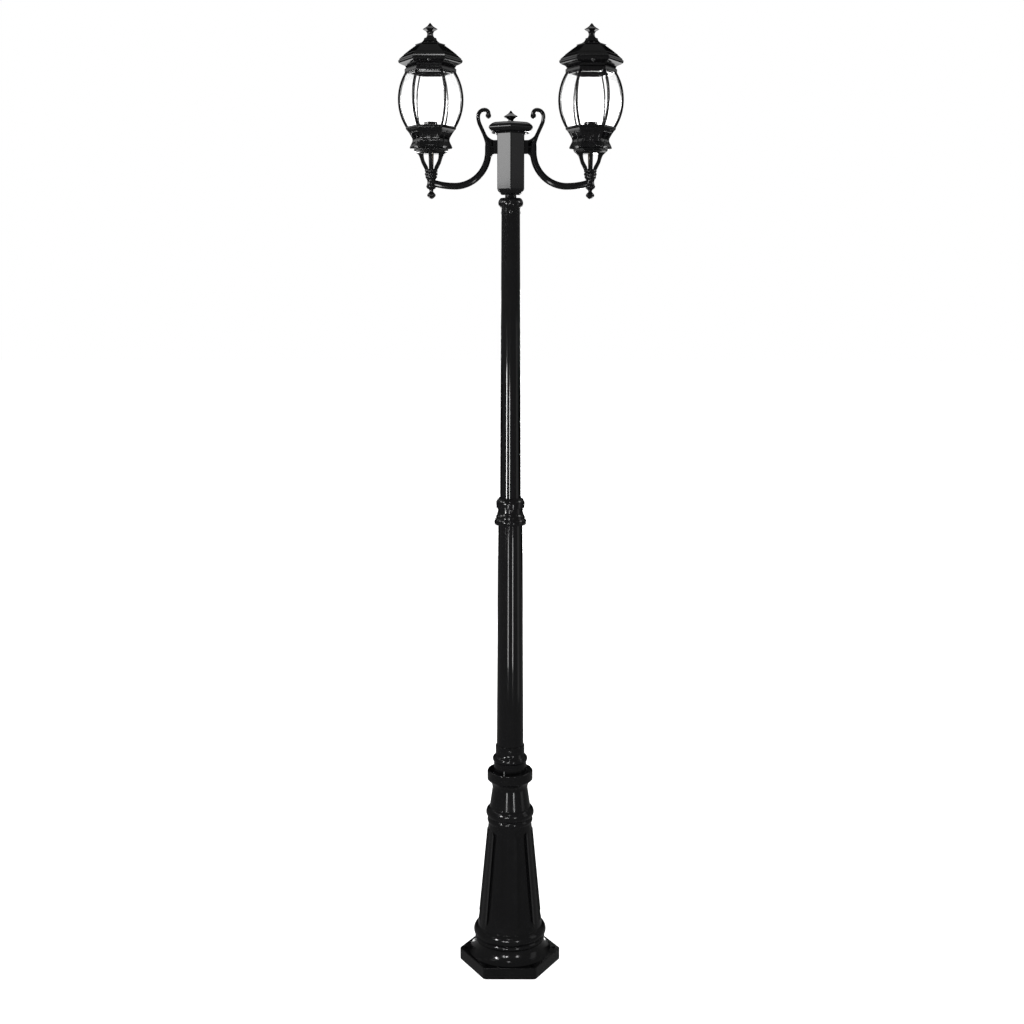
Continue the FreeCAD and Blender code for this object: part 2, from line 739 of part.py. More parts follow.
def hub():
    outer = corner_radius("hub_across_flats")
    inner = corner_radius("hub_across_flats - hub_wall * 2")
    shell = hex_stack("hub_outside", [
        (corner_radius("hub_foot_across_flats"), HUB), (outer, up(HUB, "hub_foot_height")), (outer, HUB_TOP)],
        angle=HALF_FACE)
    hollow = hex_stack("hub_inside", [(inner, HUB_FLOOR), (inner, HUB_TOP)], angle=HALF_FACE)
    web_length = f"({inner} * 2 + hub_wall)"
    web = box(
        "hub_web", ("web_width", web_length, "web_height"), ("-web_width / 2", f"-{web_length} / 2", WEB))
    holes = [
        cylinder("spigot_hole", up("spigot_thread_radius", "screw_gap"), "hub_height / 4", ("0", "0", HUB)),
        cylinder("stud_hole", up("stud_radius", "screw_gap"), "hub_height",
                 ("0", "0", up(HUB, "hub_height / 4")))]
    for side, angle in (("right", 0), ("left", 180)):
        holes.append(cylinder(side + "_lead_hole", up("lead_radius", "lead_gap"), "hub_across_flats",
                              ("0", "0", PAD), outward(angle)))
        for end in (-1, 1):
            holes.append(cylinder(f"{side}_bolt_hole_{end}", up("arm_bolt_radius", "screw_gap"),
                                  "hub_across_flats", ("0", "0", up(PAD, f"{end} * arm_bolt_spacing / 2")),
                                  outward(angle)))
    column = cut("hub_column", joined("hub_webbed", [cut("hub_shell", shell, [hollow]), web]), holes)
    node(column, "hub_column")

    journal_foot = up(TOP, "-journal_length")
    thread_top = up(HUB_FLOOR, "spigot_nut_height", "screw_gap")
    node(turned("hub_spigot", [
        ("spigot_bore_radius", journal_foot), ("journal_radius", journal_foot), ("journal_radius", TOP),
        ("spigot_neck_radius", TOP), ("spigot_neck_radius", HUB), ("spigot_thread_radius", HUB),
        ("spigot_thread_radius", thread_top), ("spigot_bore_radius", thread_top)]), "hub_spigot")
    nut = hex_stack("spigot_nut_blank", [
        ("spigot_nut_radius", HUB_FLOOR), ("spigot_nut_radius", up(HUB_FLOOR, "spigot_nut_height"))])
    node(cut("spigot_nut", nut, [cylinder("spigot_nut_bore", up("spigot_thread_radius", "screw_gap"),
                                          "hub_height", ("0", "0", HUB))]), "spigot_nut")
    block = box("terminal_blank", ("terminal_depth", "terminal_width", "terminal_height"),
                ("-terminal_depth / 2", "-terminal_width / 2", up(PAD, "-terminal_height / 2")))
    stud_way = cylinder("terminal_stud_way", up("stud_radius", "fit_gap"), "terminal_height * 2",
                        ("0", "0", up(PAD, "-terminal_height")))
    node(cut("terminal_block", block, [stud_way]), "terminal_block")


def hub_top():
    throat = up(HUB_TOP, "cap_throat_height")
    edge = up(throat, "cap_flare_height")
    shoulder = up(edge, "cap_edge_height")
    quarter = "(cap_throat_across_flats + (cap_across_flats - cap_throat_across_flats) * 0.72)"
    fall = "(cap_crown_across_flats - cap_across_flats)"
    cap = hex_stack("hub_cap_blank", [
        (corner_radius("cap_seat_across_flats"), HUB_TOP), (corner_radius("cap_throat_across_flats"), throat),
        (corner_radius(quarter), up(throat, "cap_flare_height * 0.4")),
        (corner_radius("cap_across_flats"), edge), (corner_radius("cap_across_flats"), shoulder),
        (corner_radius(f"(cap_across_flats + {fall} * 0.12)"), up(shoulder, "cap_crown_height * 0.4")),
        (corner_radius(f"(cap_across_flats + {fall} * 0.44)"), up(shoulder, "cap_crown_height * 0.76")),
        (corner_radius("cap_crown_across_flats"), CAP_TOP)], angle=HALF_FACE)
    stud_way = cylinder("cap_stud_way", up("stud_radius", "screw_gap"), "hub_height", ("0", "0", WEB))
    node(cut("hub_cap", cap, [stud_way]), "hub_cap")
    neck = up(CAP_TOP, "hub_finial_neck")
    swell = up(neck, "hub_finial_swell")
    knob = hex_stack("hub_finial_knob", [
        ("hub_finial_neck_radius * 1.3", CAP_TOP), ("hub_finial_neck_radius", neck),
        ("hub_finial_radius * 0.58", up(neck, "hub_finial_swell / 2")), ("hub_finial_radius", swell),
        ("hub_finial_radius * 0.55", up(swell, "finial_waist_height")),
        ("hub_finial_radius * 0.27", up(swell, "finial_bud_height")),
        ("finial_tip_radius", up(CAP_TOP, "hub_finial_height"))], angle=HALF_FACE)
    stud = cylinder("hub_finial_stud", "stud_radius", "stud_drop + hub_finial_neck",
                    ("0", "0", up(CAP_TOP, "-stud_drop")))
    node(joined("hub_finial", [knob, stud]), "hub_finial")


def in_arm_plane(across, level):
    return FreeCAD.Vector(across, 0, level)


def bend(start, centre, sweep):
    """Arc in the plane of the arms, from start about centre, anticlockwise in X and Z, and its end."""
    arm = start - centre
    points = []
    for share in (0.5, 1):
        angle = math.radians(sweep * share)
        across = arm.x * math.cos(angle) - arm.z * math.sin(angle)
        level = arm.x * math.sin(angle) + arm.z * math.cos(angle)
        points.append(centre + in_arm_plane(across, level))
    return Part.Arc(start, points[0], points[1]).toShape(), points[1]


def lower_sweep(start, end_across):
    """Edges of an arm's lower sweep, from a point on its upright part to a point across."""
    radius = measure("arm_bend_radius")
    rise = measure("arm_rise_radius")
    top = in_arm_plane(measure(STAND), measure(PAD) - measure("arm_drop"))
    first, lowest = bend(top, top + in_arm_plane(radius, 0), 90)
    turn_up = math.degrees(math.asin((end_across - lowest.x) / rise))
    second, _ = bend(lowest, lowest + in_arm_plane(0, rise), turn_up)
    return [Part.LineSegment(start, top).toShape(), first, second]


def arm_section(centre, along, thickness, depth):
    """Rounded oblong across the arm, square to the direction that it runs."""
    rounding = min(measure("arm_rounding"), 0.45 * min(thickness, depth))
    half_thick = thickness / 2
    half_deep = depth / 2
    corners = ((1, 1), (-1, 1), (-1, -1), (1, -1))
    across = FreeCAD.Vector(0, 1, 0).cross(along).normalize()
    deep = FreeCAD.Vector(0, 1, 0)
    edges = []
    ends = []
    for thick_side, deep_side in corners:
        middle = (centre + across * (thick_side * (half_thick - rounding))
                  + deep * (deep_side * (half_deep - rounding)))
        flank = middle + across * (thick_side * rounding)
        cheek = middle + deep * (deep_side * rounding)
        mid_way = middle + (across * thick_side + deep * deep_side) * (rounding * math.sqrt(0.5))
        order = (flank, cheek) if thick_side == deep_side else (cheek, flank)
        edges.append(Part.Arc(order[0], mid_way, order[1]).toShape())
        ends.append(order)
    outline = []
    for index, arc in enumerate(edges):
        outline.append(arc)
        outline.append(Part.LineSegment(ends[index][1], ends[(index + 1) % len(ends)][0]).toShape())
    return Part.Wire(outline)


def scroll():
    """Upper part of an arm: up, out, back to upright and over in a tapering curl with a knob."""
    thickness = measure("arm_thickness")
    tip = measure("scroll_tip_thickness")
    depth = measure("arm_depth")
    lean = measure("scroll_lean")
    lean_angle = math.radians(lean)
    foot = in_arm_plane(measure(STAND), measure(PAD))
    start = foot + in_arm_plane(0, measure("scroll_lift"))
    outer, leaned = bend(start, start + in_arm_plane(measure("scroll_foot_radius"), 0), -lean)
    heading = in_arm_plane(math.sin(lean_angle), math.cos(lean_angle))
    waist = leaned + heading * (measure("scroll_run") * 0.4)
    shoulder = leaned + heading * measure("scroll_run")
    inward = in_arm_plane(-math.cos(lean_angle), math.sin(lean_angle))
    inner, curl_start = bend(shoulder, shoulder + inward * measure("scroll_shoulder_radius"), lean)
    curl, summit = bend(curl_start, curl_start + in_arm_plane(-measure("scroll_curl_radius"), 0), 90)
    hook_sweep = measure("scroll_hook_sweep")
    hook, end = bend(summit, summit + in_arm_plane(0, -measure("scroll_hook_radius")), hook_sweep)
    route = Part.Wire([
        Part.LineSegment(foot, start).toShape(), outer, Part.LineSegment(leaned, waist).toShape(),
        Part.LineSegment(waist, shoulder).toShape(), inner, curl, hook])
    end_angle = math.radians(180 + hook_sweep)
    end_heading = in_arm_plane(math.cos(end_angle), math.sin(end_angle))
    sections = [
        arm_section(foot, in_arm_plane(0, 1), thickness, depth),
        arm_section(waist, heading, measure("scroll_waist_thickness"), depth),
        arm_section(end, end_heading, tip, depth * 0.8)]
    blade = route.makePipeShell(sections, True, False)
    knob_radius = measure("scroll_knob_radius")
    knob = Part.makeCylinder(knob_radius, depth * 0.8, end - FreeCAD.Vector(0, depth * 0.4, 0),
                             FreeCAD.Vector(0, 1, 0))
    return blade.fuse(knob)


def lead_route(first_across, last_across):
    """Way of a lamp lead: level through the pad, down and along the middle of the arm."""
    level = measure(PAD)
    radius = measure("lead_bend_radius")
    stand = measure(STAND)
    start = in_arm_plane(first_across, level)
    corner = in_arm_plane(stand - radius, level)
    elbow, below = bend(corner, corner + in_arm_plane(0, -radius), -90)
    return Part.Wire([Part.LineSegment(start, corner).toShape(), elbow] + lower_sweep(below, last_across))


def round_bar(route, radius):
    start = route.Edges[0].valueAt(route.Edges[0].FirstParameter)
    ring = Part.Wire(Part.makeCircle(radius, start, route.Edges[0].tangentAt(route.Edges[0].FirstParameter)))
    return route.makePipeShell([ring], True, False)


def boss_shape():
    """Turned seat for a lantern at the end of an arm."""
    reach = measure("arm_reach")
    boss = measure(BOSS)
    waist = measure("boss_radius")
    foot = boss - measure("boss_drop")
    bead = boss - measure("boss_bead_drop")
    seat = measure(SEAT)
    corners = [
        (0, foot), (measure("boss_foot_radius"), foot), (measure("boss_bead_radius"), bead),
        (waist, boss), (measure("collar_base_radius"), seat), (0, seat)]
    outline = [in_arm_plane(reach + across, level) for across, level in corners]
    face = Part.Face(Part.makePolygon(outline + outline[:1]))
    return face.revolve(in_arm_plane(reach, 0), ABOUT_Z, 360)


def gusset_shape():
    """Hollowed web in the corner between an arm's pad and its scroll."""
    pad = measure(PAD)
    depth = measure("gusset_depth")
    heel = in_arm_plane(measure(STAND), pad)
    foot = in_arm_plane(measure(up(HUB_FLAT, "gusset_start")), pad + measure("pad_height / 2"))
    top = heel + in_arm_plane(measure("gusset_across"), measure("gusset_rise"))
    chord = top - foot
    middle = (foot + top) * 0.5 + in_arm_plane(chord.z, -chord.x).normalize() * measure("gusset_hollow")
    outline = Part.Wire([Part.Arc(foot, middle, top).toShape(), Part.LineSegment(top, heel).toShape(),
                         Part.LineSegment(heel, foot).toShape()])
    web = Part.Face(outline).extrude(FreeCAD.Vector(0, depth, 0))
    web.translate(FreeCAD.Vector(0, -depth / 2, 0))
    return web


def arm_shape():
    """Right-hand arm casting."""
    hub_flat = measure(HUB_FLAT)
    stand = measure(STAND)
    pad = measure(PAD)
    pad_height = measure("pad_height")
    pad_width = measure("pad_width")
    thickness = measure("arm_thickness")
    depth = measure("arm_depth")
    foot = in_arm_plane(stand, pad)
    lower = Part.Wire(lower_sweep(foot, measure("arm_reach")))
    limb = lower.makePipeShell([arm_section(foot, in_arm_plane(0, -1), thickness, depth)], True, False)
    pad_block = Part.makeBox(stand - hub_flat, pad_width, pad_height,
                             FreeCAD.Vector(hub_flat, -pad_width / 2, pad - pad_height / 2))
    blended = [edge for edge in pad_block.Edges if abs(edge.tangentAt(edge.FirstParameter).x) > 0.99]
    pad_block = pad_block.makeFillet(measure("arm_rounding"), blended)
    casting = limb.fuse([scroll(), pad_block, gusset_shape(), boss_shape()])
    bores = [
        round_bar(lead_route(hub_flat - 1, measure("arm_reach")), measure(up("lead_radius", "lead_gap"))),
        Part.makeCylinder(measure(up("nipple_radius", "running_gap")), measure("boss_rise + boss_drop"),
                          in_arm_plane(measure("arm_reach"), measure(BOSS_FOOT)))]
    for end in (-1, 1):
        level = pad + end * measure("arm_bolt_spacing") / 2
        bores.append(Part.makeCylinder(measure(up("arm_bolt_radius", "screw_gap")),
                                       measure("arm_bolt_depth + 1"), in_arm_plane(hub_flat, level),
                                       FreeCAD.Vector(1, 0, 0)))
    return casting.cut(bores).removeSplitter()


def shaped(name, shape, turn_angle=0):
    item = DOC.addObject("Part::Feature", name)
    item.Shape = shape
    item.Placement = FreeCAD.Placement(FreeCAD.Vector(), FreeCAD.Rotation(ABOUT_Z, turn_angle))
    return node(item, name)


def arms():
    arm = arm_shape()
    lead_end = measure("arm_reach - nipple_radius - fit_gap * 2")
    lead = round_bar(lead_route(measure("terminal_depth / 2"), lead_end), measure("lead_radius"))
    bolts = []
    for side, angle in (("right", 0), ("left", 180)):
        shaped(side + "_arm", arm, angle)
        shaped(side + "_arm_lead", lead, angle)
        head_face = f"({HUB_FLAT} - hub_wall - arm_bolt_head_height)"
        direction = math.cos(math.radians(angle))
        for end in (-1, 1):
            level = up(PAD, f"{end} * arm_bolt_spacing / 2")
            head = cylinder(f"{side}_bolt_head_{end}", "arm_bolt_head_radius", "arm_bolt_head_height",
                            (f"{direction} * {head_face}", "0", level), outward(angle))
            shank = cylinder(f"{side}_bolt_shank_{end}", "arm_bolt_radius",
                             "arm_bolt_head_height + hub_wall + arm_bolt_depth",
                             (f"{direction} * {head_face}", "0", level), outward(angle))
            bolts.append(joined(f"{side}_bolt_{end}", [head, shank]))
    node(group("arm_bolts", bolts), "arm_bolts")


# Lanterns

def basket(side, axis_x):
    bore = up("nipple_radius", "screw_gap")
    body = new_body(side + "_basket", axis_x)
    ring = "collar_height / 3"
    turn(body, [
        (bore, SEAT), ("collar_base_radius", SEAT), ("collar_radius", up(SEAT, ring), "collar_ring_bulge"),
        ("collar_radius", up(SEAT, ring, ring), "collar_ring_bulge"), ("collar_radius", STRUT),
        (bore, STRUT)],
        side + "_collar")
    strut_in = "(collar_radius - strut_thickness)"
    bow = "strut_bow"
    strut = turn(body, [
        (strut_in, up(STRUT, "-1")), ("collar_radius", up(STRUT, "-1"), bow),
        ("strut_top_radius", up(BASKET_PLATE, "1")),
        ("strut_top_radius - strut_thickness", up(BASKET_PLATE, "1"), "-" + bow)],
        side + "_strut", sweep="strut_sweep")
    ring_of(body, strut, STRUTS)
    turn(body, [
        (bore, BASKET_PLATE), ("strut_top_radius", BASKET_PLATE),
        ("basket_plate_radius", up(BASKET_PLATE, "basket_plate_height / 2")),
        ("basket_plate_radius", CROWN), (bore, CROWN)], side + "_basket_plate")
    node(body, side + "_basket")


def stem(side, axis_x):
    nipple_foot = up(BOSS_FOOT, "fit_gap")
    nipple_top = up(LAMPHOLDER, "lampholder_base_depth / 2")
    node(turned(side + "_stem_nipple",
                sleeve_outline("nipple_bore_radius", "nipple_radius", nipple_foot, nipple_top), axis_x),
         side + "_stem_nipple")
    blank = hex_stack(side + "_stem_nut_blank", [
        ("stem_nut_radius", CROWN_FLOOR), ("stem_nut_radius", BRACKET)])
    bore = cylinder(side + "_stem_nut_bore", up("nipple_radius", "screw_gap"), "crown_height",
                    ("0", "0", CROWN))
    nut = cut(side + "_stem_nut", blank, [bore])
    set_place(nut, (axis_x,))
    node(nut, side + "_stem_nut")
    shoulder = up(BOSS_FOOT, "-drop_finial_neck")
    swell = up(shoulder, "-drop_finial_swell")
    knob = hex_stack(side + "_drop_knob", [
        ("finial_tip_radius", up(BOSS_FOOT, "-drop_finial_height")), ("drop_finial_radius", swell),
        ("drop_finial_neck_radius", shoulder), ("drop_finial_shoulder_radius", BOSS_FOOT)])
    stud = cylinder(side + "_drop_stud", "nipple_bore_radius - running_gap",
                    "drop_stud_length + drop_finial_neck", ("0", "0", shoulder))
    finial = joined(side + "_drop_finial", [knob, stud])
    set_place(finial, (axis_x,))
    node(finial, side + "_drop_finial")
    node(turned(side + "_stem_lead", [
        ("0", BOSS), ("stem_lead_radius", BOSS), ("stem_lead_radius", LEAD_END), ("0", LEAD_END)], axis_x),
        side + "_stem_lead")


def crown(side, axis_x):
    bevel = hex_stack(side + "_crown_bevel", [("crown_seat_radius", CROWN), ("crown_rim_radius", CROWN_RIM)])
    cup = hex_stack(side + "_crown_cup", [
        ("crown_rim_radius", CROWN_RIM), ("crown_waist_radius", CROWN_WAIST),
        ("crown_shoulder_radius", CROWN_SHOULDER), ("crown_top_radius", CROWN_TOP)], ruled=False)
    hollow = hex_stack(side + "_crown_hollow", [
        ("crown_waist_radius - crown_wall", CROWN_FLOOR), ("crown_waist_radius - crown_wall", CROWN_WAIST),
        ("crown_shoulder_radius - crown_wall", CROWN_SHOULDER), ("crown_top_radius - crown_wall", CROWN_TOP)])
    tools = [hollow, cylinder(side + "_crown_bore", up("nipple_radius", "screw_gap"), "crown_height",
                              ("0", "0", CROWN))]
    rim_depth = f"crown_rim_radius * cos({HALF_FACE})"
    for index in range(SIDES):
        angle = HALF_FACE + 360 / SIDES * index
        near = f"({rim_depth} - crown_wall * 2)"
        tools.append(cylinder(
            f"{side}_scallop_{index}", "scallop_radius", "crown_wall * 3",
            (f"{near} * cos({angle})", f"{near} * sin({angle})",
             up(CROWN_RIM, "scallop_height", "-scallop_radius")), outward(angle)))
    casting = cut(side + "_crown", joined(side + "_crown_solid", [bevel, cup]), tools)
    set_place(casting, (axis_x,))
    node(casting, side + "_crown")


RIB_BULGE = "(rib_belly_radius - (rib_foot_radius + rib_top_radius) / 2)"


def cage(side, axis_x):
    body = new_body(side + "_cage", axis_x)
    hex_prism(body, side + "_cage_ring", "Additive", "rib_foot_radius", CROWN_TOP, "cage_ring_height")
    hex_prism(body, side + "_cage_mouth", "Subtractive", "rib_foot_radius - cage_ring_width", CROWN_TOP,
              "cage_ring_height")
    rib = turn(body, [
        ("rib_foot_radius - rib_thickness", GLASS), ("rib_foot_radius", GLASS, RIB_BULGE),
        ("rib_top_radius", CAGE_TOP), ("rib_top_radius - rib_thickness", CAGE_TOP, "-" + RIB_BULGE)],
        side + "_rib", sweep="rib_width / rib_belly_radius * 180 / pi")
    ring_of(body, rib, SIDES)
    hex_prism(body, side + "_cage_flange", "Additive", "rib_top_radius", CAGE_TOP, "cage_flange_height")
    hex_prism(body, side + "_upstand", "Additive", "upstand_radius", ROOF, "upstand_height")
    hex_prism(body, side + "_cage_throat", "Subtractive", "cage_throat_radius", CAGE_TOP,
              "cage_flange_height + upstand_height")
    node(body, side + "_cage")


PANES = {
    30: "back_right", 90: "back", 150: "back_left", 210: "front_left", 270: "front", 330: "front_right"}
PANE_FOOT = f"(rib_foot_radius - rib_thickness - pane_gap) * cos({HALF_FACE})"
PANE_HEAD = f"(rib_top_radius - rib_thickness - pane_gap) * cos({HALF_FACE})"
PANE_BULGE = f"{RIB_BULGE} * cos({HALF_FACE})"


def pane(side, axis_x, angle, place):
    """Curved pane facing X, mitred at both edges, turned to its face of the cage."""
    body = new_body(f"{side}_pane_{place}", axis_x)
    top = up(CAGE_TOP, "-fit_gap")
    sheet = body.newObject("PartDesign::Pad", f"{side}_sheet_{place}")
    sheet.Profile = draw(body, [
        (PANE_FOOT + " - pane_thickness", GLASS), (PANE_FOOT, GLASS, PANE_BULGE), (PANE_HEAD, top),
        (PANE_HEAD + " - pane_thickness", top, "-" + PANE_BULGE)], f"{side}_sheet_outline_{place}")
    sheet.SideType = "Symmetric"
    sheet.setExpression("Length", linked("rib_belly_radius * 2"))
    for edge in (-1, 1):
        mitre = body.newObject("PartDesign::SubtractiveBox", f"{side}_mitre_{place}_{edge}")
        for size in ("Length", "Width"):
            mitre.setExpression(size, linked("rib_belly_radius * 2"))
        mitre.setExpression("Height", linked("cage_height * 2"))
        shift = "pane_gap" if edge > 0 else "(pane_gap - rib_belly_radius * 2)"
        sign = -1 if edge > 0 else 1
        set_place(mitre, (f"{shift} * sin({HALF_FACE})", f"{sign} * {shift} * cos({HALF_FACE})", CROWN),
                  FreeCAD.Rotation(ABOUT_Z, edge * HALF_FACE))
    body.Tip = mitre
    body.Placement.Rotation = FreeCAD.Rotation(ABOUT_Z, angle)
    node(body, f"{side}_pane_{place}")


def pane_clips(side, axis_x):
    face = f"({PANE_HEAD} - pane_thickness - fit_gap - clip_thickness)"
    clips = []
    for angle, place in PANES.items():
        corner = (f"{face} * cos({angle}) + clip_width / 2 * sin({angle})",
                  f"{face} * sin({angle}) - clip_width / 2 * cos({angle})", up(CAGE_TOP, "-clip_height"))
        clips.append(box(f"{side}_clip_{place}", ("clip_thickness", "clip_width", "clip_height"), corner,
                         FreeCAD.Rotation(ABOUT_Z, angle)))
    clip_group = group(side + "_pane_clips", clips)
    set_place(clip_group, (axis_x,))
    node(clip_group, side + "_pane_clips")


def lampholder(side, axis_x):
    bore = up("nipple_radius", "screw_gap")
    cup_bore = up("lampholder_radius", "fit_gap")
    lip = up(LAMPHOLDER, "bracket_lip")
    node(turned(side + "_lampholder_bracket", [
        (bore, BRACKET), ("bracket_radius", BRACKET), ("bracket_radius", lip), (cup_bore, lip),
        (cup_bore, LAMPHOLDER), (bore, LAMPHOLDER)], axis_x), side + "_lampholder_bracket")
    socket = up("sleeve_bore_radius", "sleeve_wall", "fit_gap")
    rim_foot = up(LAMPHOLDER_RIM, "-lampholder_rim_height")
    node(turned(side + "_lampholder", [
        ("lampholder_base_bore", LAMPHOLDER), ("lampholder_radius", LAMPHOLDER),
        ("lampholder_radius", rim_foot),
        ("lampholder_rim_radius", rim_foot), ("lampholder_rim_radius", LAMPHOLDER_RIM),
        (socket, LAMPHOLDER_RIM),
        (socket, SOCKET), ("0", SOCKET), ("0", LEAD_END), ("lampholder_base_bore", LEAD_END)], axis_x),
        side + "_lampholder")
    node(turned(side + "_lampholder_sleeve", sleeve_outline(
        "sleeve_bore_radius", up("sleeve_bore_radius", "sleeve_wall"), SOCKET, up(SOCKET, "sleeve_length")),
        axis_x), side + "_lampholder_sleeve")


LOCK_SCREW = up(EAVE, "lock_screw_rise")
LOCK_TIP = f"(upstand_radius * cos({HALF_FACE}) + fit_gap)"
LOCK_SEAT = f"((eave_foot_radius + eave_radius) / 2 * cos({HALF_FACE}))"
LOCK_ANGLES = [FRONT + 360 / SCREWS_ROUND_A_COLLAR * index for index in range(SCREWS_ROUND_A_COLLAR)]


def roof(side, axis_x):
    skirt = hex_stack(side + "_roof_skirt", [("skirt_seat_radius", ROOF), ("skirt_eave_radius", EAVE)])
    eave = hex_stack(side + "_roof_eave", [
        ("skirt_eave_radius", EAVE), ("eave_foot_radius", up(EAVE, "soffit_rise")),
        ("eave_radius", up(EAVE, "eave_roll")), ("eave_radius", up(EAVE_TOP, "-eave_shoulder")),
        ("eave_top_radius", EAVE_TOP),
        ("tier_foot_radius", TIER)])
    tier = hex_stack(side + "_roof_tier", [
        ("tier_lip_radius", TIER), ("tier_lip_radius", TIER_LIP), ("tier_waist_radius", TIER_WAIST),
        ("tier_shoulder_radius", TIER_SHOULDER), ("tier_top_radius", ROOF_TOP)])
    bosses = [cylinder(f"{side}_lock_boss_{index}", "lock_boss_radius", LOCK_SEAT, ("0", "0", LOCK_SCREW),
                       outward(angle)) for index, angle in enumerate(LOCK_ANGLES)]
    outside = joined(side + "_roof_outside", [skirt, eave, tier] + bosses)
    throat = up("upstand_radius", "fit_gap * 2")
    inside = hex_stack(side + "_roof_inside", [
        (throat, ROOF), (throat, up(EAVE, "roof_wall / 2")),
        ("eave_top_radius - roof_wall * 1.4", up(EAVE_TOP, "-roof_wall")),
        ("tier_foot_radius - roof_wall", up(TIER, "-roof_wall")),
        ("tier_top_radius", up(TIER, "-roof_wall / 2"))])
    tools = [inside, cylinder(side + "_roof_stud_hole", up("stud_radius", "screw_gap"), "tier_height * 3",
                              ("0", "0", TIER))]
    for index, angle in enumerate(LOCK_ANGLES):
        tools.append(cylinder(f"{side}_lock_hole_{index}", up("lock_screw_shank_radius", "screw_gap"),
                              "eave_radius", ("0", "0", LOCK_SCREW), outward(angle)))
        tools.append(cylinder(
            f"{side}_spot_face_{index}", "lock_boss_radius", "eave_radius",
            (f"{LOCK_SEAT} * cos({angle})", f"{LOCK_SEAT} * sin({angle})", LOCK_SCREW), outward(angle)))
    shell = cut(side + "_roof", outside, tools)
    set_place(shell, (axis_x,))
    node(shell, side + "_roof")

    base = up(ROOF_TOP, "roof_finial_base")
    neck = up(base, "roof_finial_neck")
    swell = up(neck, "roof_finial_swell")
    knob = hex_stack(side + "_roof_knob", [
        ("roof_finial_base_radius", ROOF_TOP), ("roof_finial_neck_radius", base),
        ("roof_finial_neck_radius", neck), ("roof_finial_radius * 0.52", up(neck, "roof_finial_swell / 2")),
        ("roof_finial_radius", swell), ("roof_finial_radius * 0.52", up(swell, "finial_waist_height")),
        ("roof_finial_radius * 0.27", up(swell, "finial_bud_height")),
        ("finial_tip_radius", up(ROOF_TOP, "roof_finial_height"))])
    stud = cylinder(side + "_roof_stud", "stud_radius", "roof_stud_length + roof_finial_base",
                    ("0", "0", up(ROOF_TOP, "-roof_stud_length")))
    finial = joined(side + "_roof_finial", [knob, stud])
    set_place(finial, (axis_x,))
    node(finial, side + "_roof_finial")

    screws = []
    for index, angle in enumerate(LOCK_ANGLES):
        screw = domed_screw(f"{side}_lock_screw_{index}", "lock_screw_head_radius", "lock_screw_head_height",
                            "lock_screw_shank_radius", f"({LOCK_SEAT} - {LOCK_TIP})")
        set_place(
            screw, (f"{LOCK_TIP} * cos({angle})", f"{LOCK_TIP} * sin({angle})", LOCK_SCREW), outward(angle))
        screws.append(screw)
    screw_group = group(side + "_roof_lock_screws", screws)
    set_place(screw_group, (axis_x,))
    node(screw_group, side + "_roof_lock_screws")


def lantern(side, axis_x):
    basket(side, axis_x)
    stem(side, axis_x)
    crown(side, axis_x)
    cage(side, axis_x)
    for angle, place in PANES.items():
        pane(side, axis_x, angle, place)
    pane_clips(side, axis_x)
    lampholder(side, axis_x)
    roof(side, axis_x)


def write_parts():
    DOC.recompute()
    for item in DOC.Objects:
        if "Invalid" in item.State or "Error" in item.State:
            raise RuntimeError(f"{item.Label} failed: {item.State}")
    for item in NODES:
        if item.Shape.isNull() or not item.Shape.isValid() or not item.Shape.Solids:
            raise RuntimeError(f"{item.Label} has no sound solid")
    os.makedirs("parts", exist_ok=True)
    for item in NODES:
        item.Shape.exportStep(os.path.join("parts", item.Label + ".step"))
        box_found = item.Shape.BoundBox
        print(f"{item.Label}: {len(item.Shape.Solids)} solids, {item.Shape.Volume:.0f} mm3,"
              f" z {box_found.ZMin:.1f} to {box_found.ZMax:.1f}")
    print(len(NODES), "nodes")


fill_sheet()
base_casting()
tubes()
base_collar()
mid_collar()
top_collar()
tube_set_screws()
hub()
hub_top()
arms()
lantern("left", "-arm_reach")
lantern("right", "arm_reach")
write_parts()
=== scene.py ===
"""Garden lamp post with two lanterns: shapes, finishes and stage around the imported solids."""

import json
from math import asin, atan2, cos, degrees, hypot, radians, sin, tan

import bpy
from bpy.props import FloatProperty, FloatVectorProperty, PointerProperty
from bpy.types import Operator, Panel, PropertyGroup
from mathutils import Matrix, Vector


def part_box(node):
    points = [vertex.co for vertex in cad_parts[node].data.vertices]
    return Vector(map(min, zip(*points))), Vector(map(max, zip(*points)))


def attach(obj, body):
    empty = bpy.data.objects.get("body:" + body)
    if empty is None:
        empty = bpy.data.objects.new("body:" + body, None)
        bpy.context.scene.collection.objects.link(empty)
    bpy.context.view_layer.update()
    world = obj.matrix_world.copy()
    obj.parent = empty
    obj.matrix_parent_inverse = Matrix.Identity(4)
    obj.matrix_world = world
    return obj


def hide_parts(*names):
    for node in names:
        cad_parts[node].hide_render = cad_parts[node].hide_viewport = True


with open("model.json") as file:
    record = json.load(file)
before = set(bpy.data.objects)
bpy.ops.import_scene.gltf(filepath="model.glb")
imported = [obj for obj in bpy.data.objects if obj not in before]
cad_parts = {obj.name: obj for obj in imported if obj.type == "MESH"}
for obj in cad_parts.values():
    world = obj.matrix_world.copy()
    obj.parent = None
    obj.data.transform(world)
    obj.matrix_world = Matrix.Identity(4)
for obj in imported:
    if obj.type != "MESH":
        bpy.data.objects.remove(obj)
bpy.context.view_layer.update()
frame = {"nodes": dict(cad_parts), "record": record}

bl_info = {
    "name": "Double head lamp post",
    "version": (1, 0, 0),
    "blender": (4, 5, 0),
    "location": "View3D > Sidebar > Lamp post",
    "description": "Models and finishes a garden lamp post with two lanterns",
    "category": "Object",
}

MM = 0.001
ROUND = 64
FINE_ROUND = 120

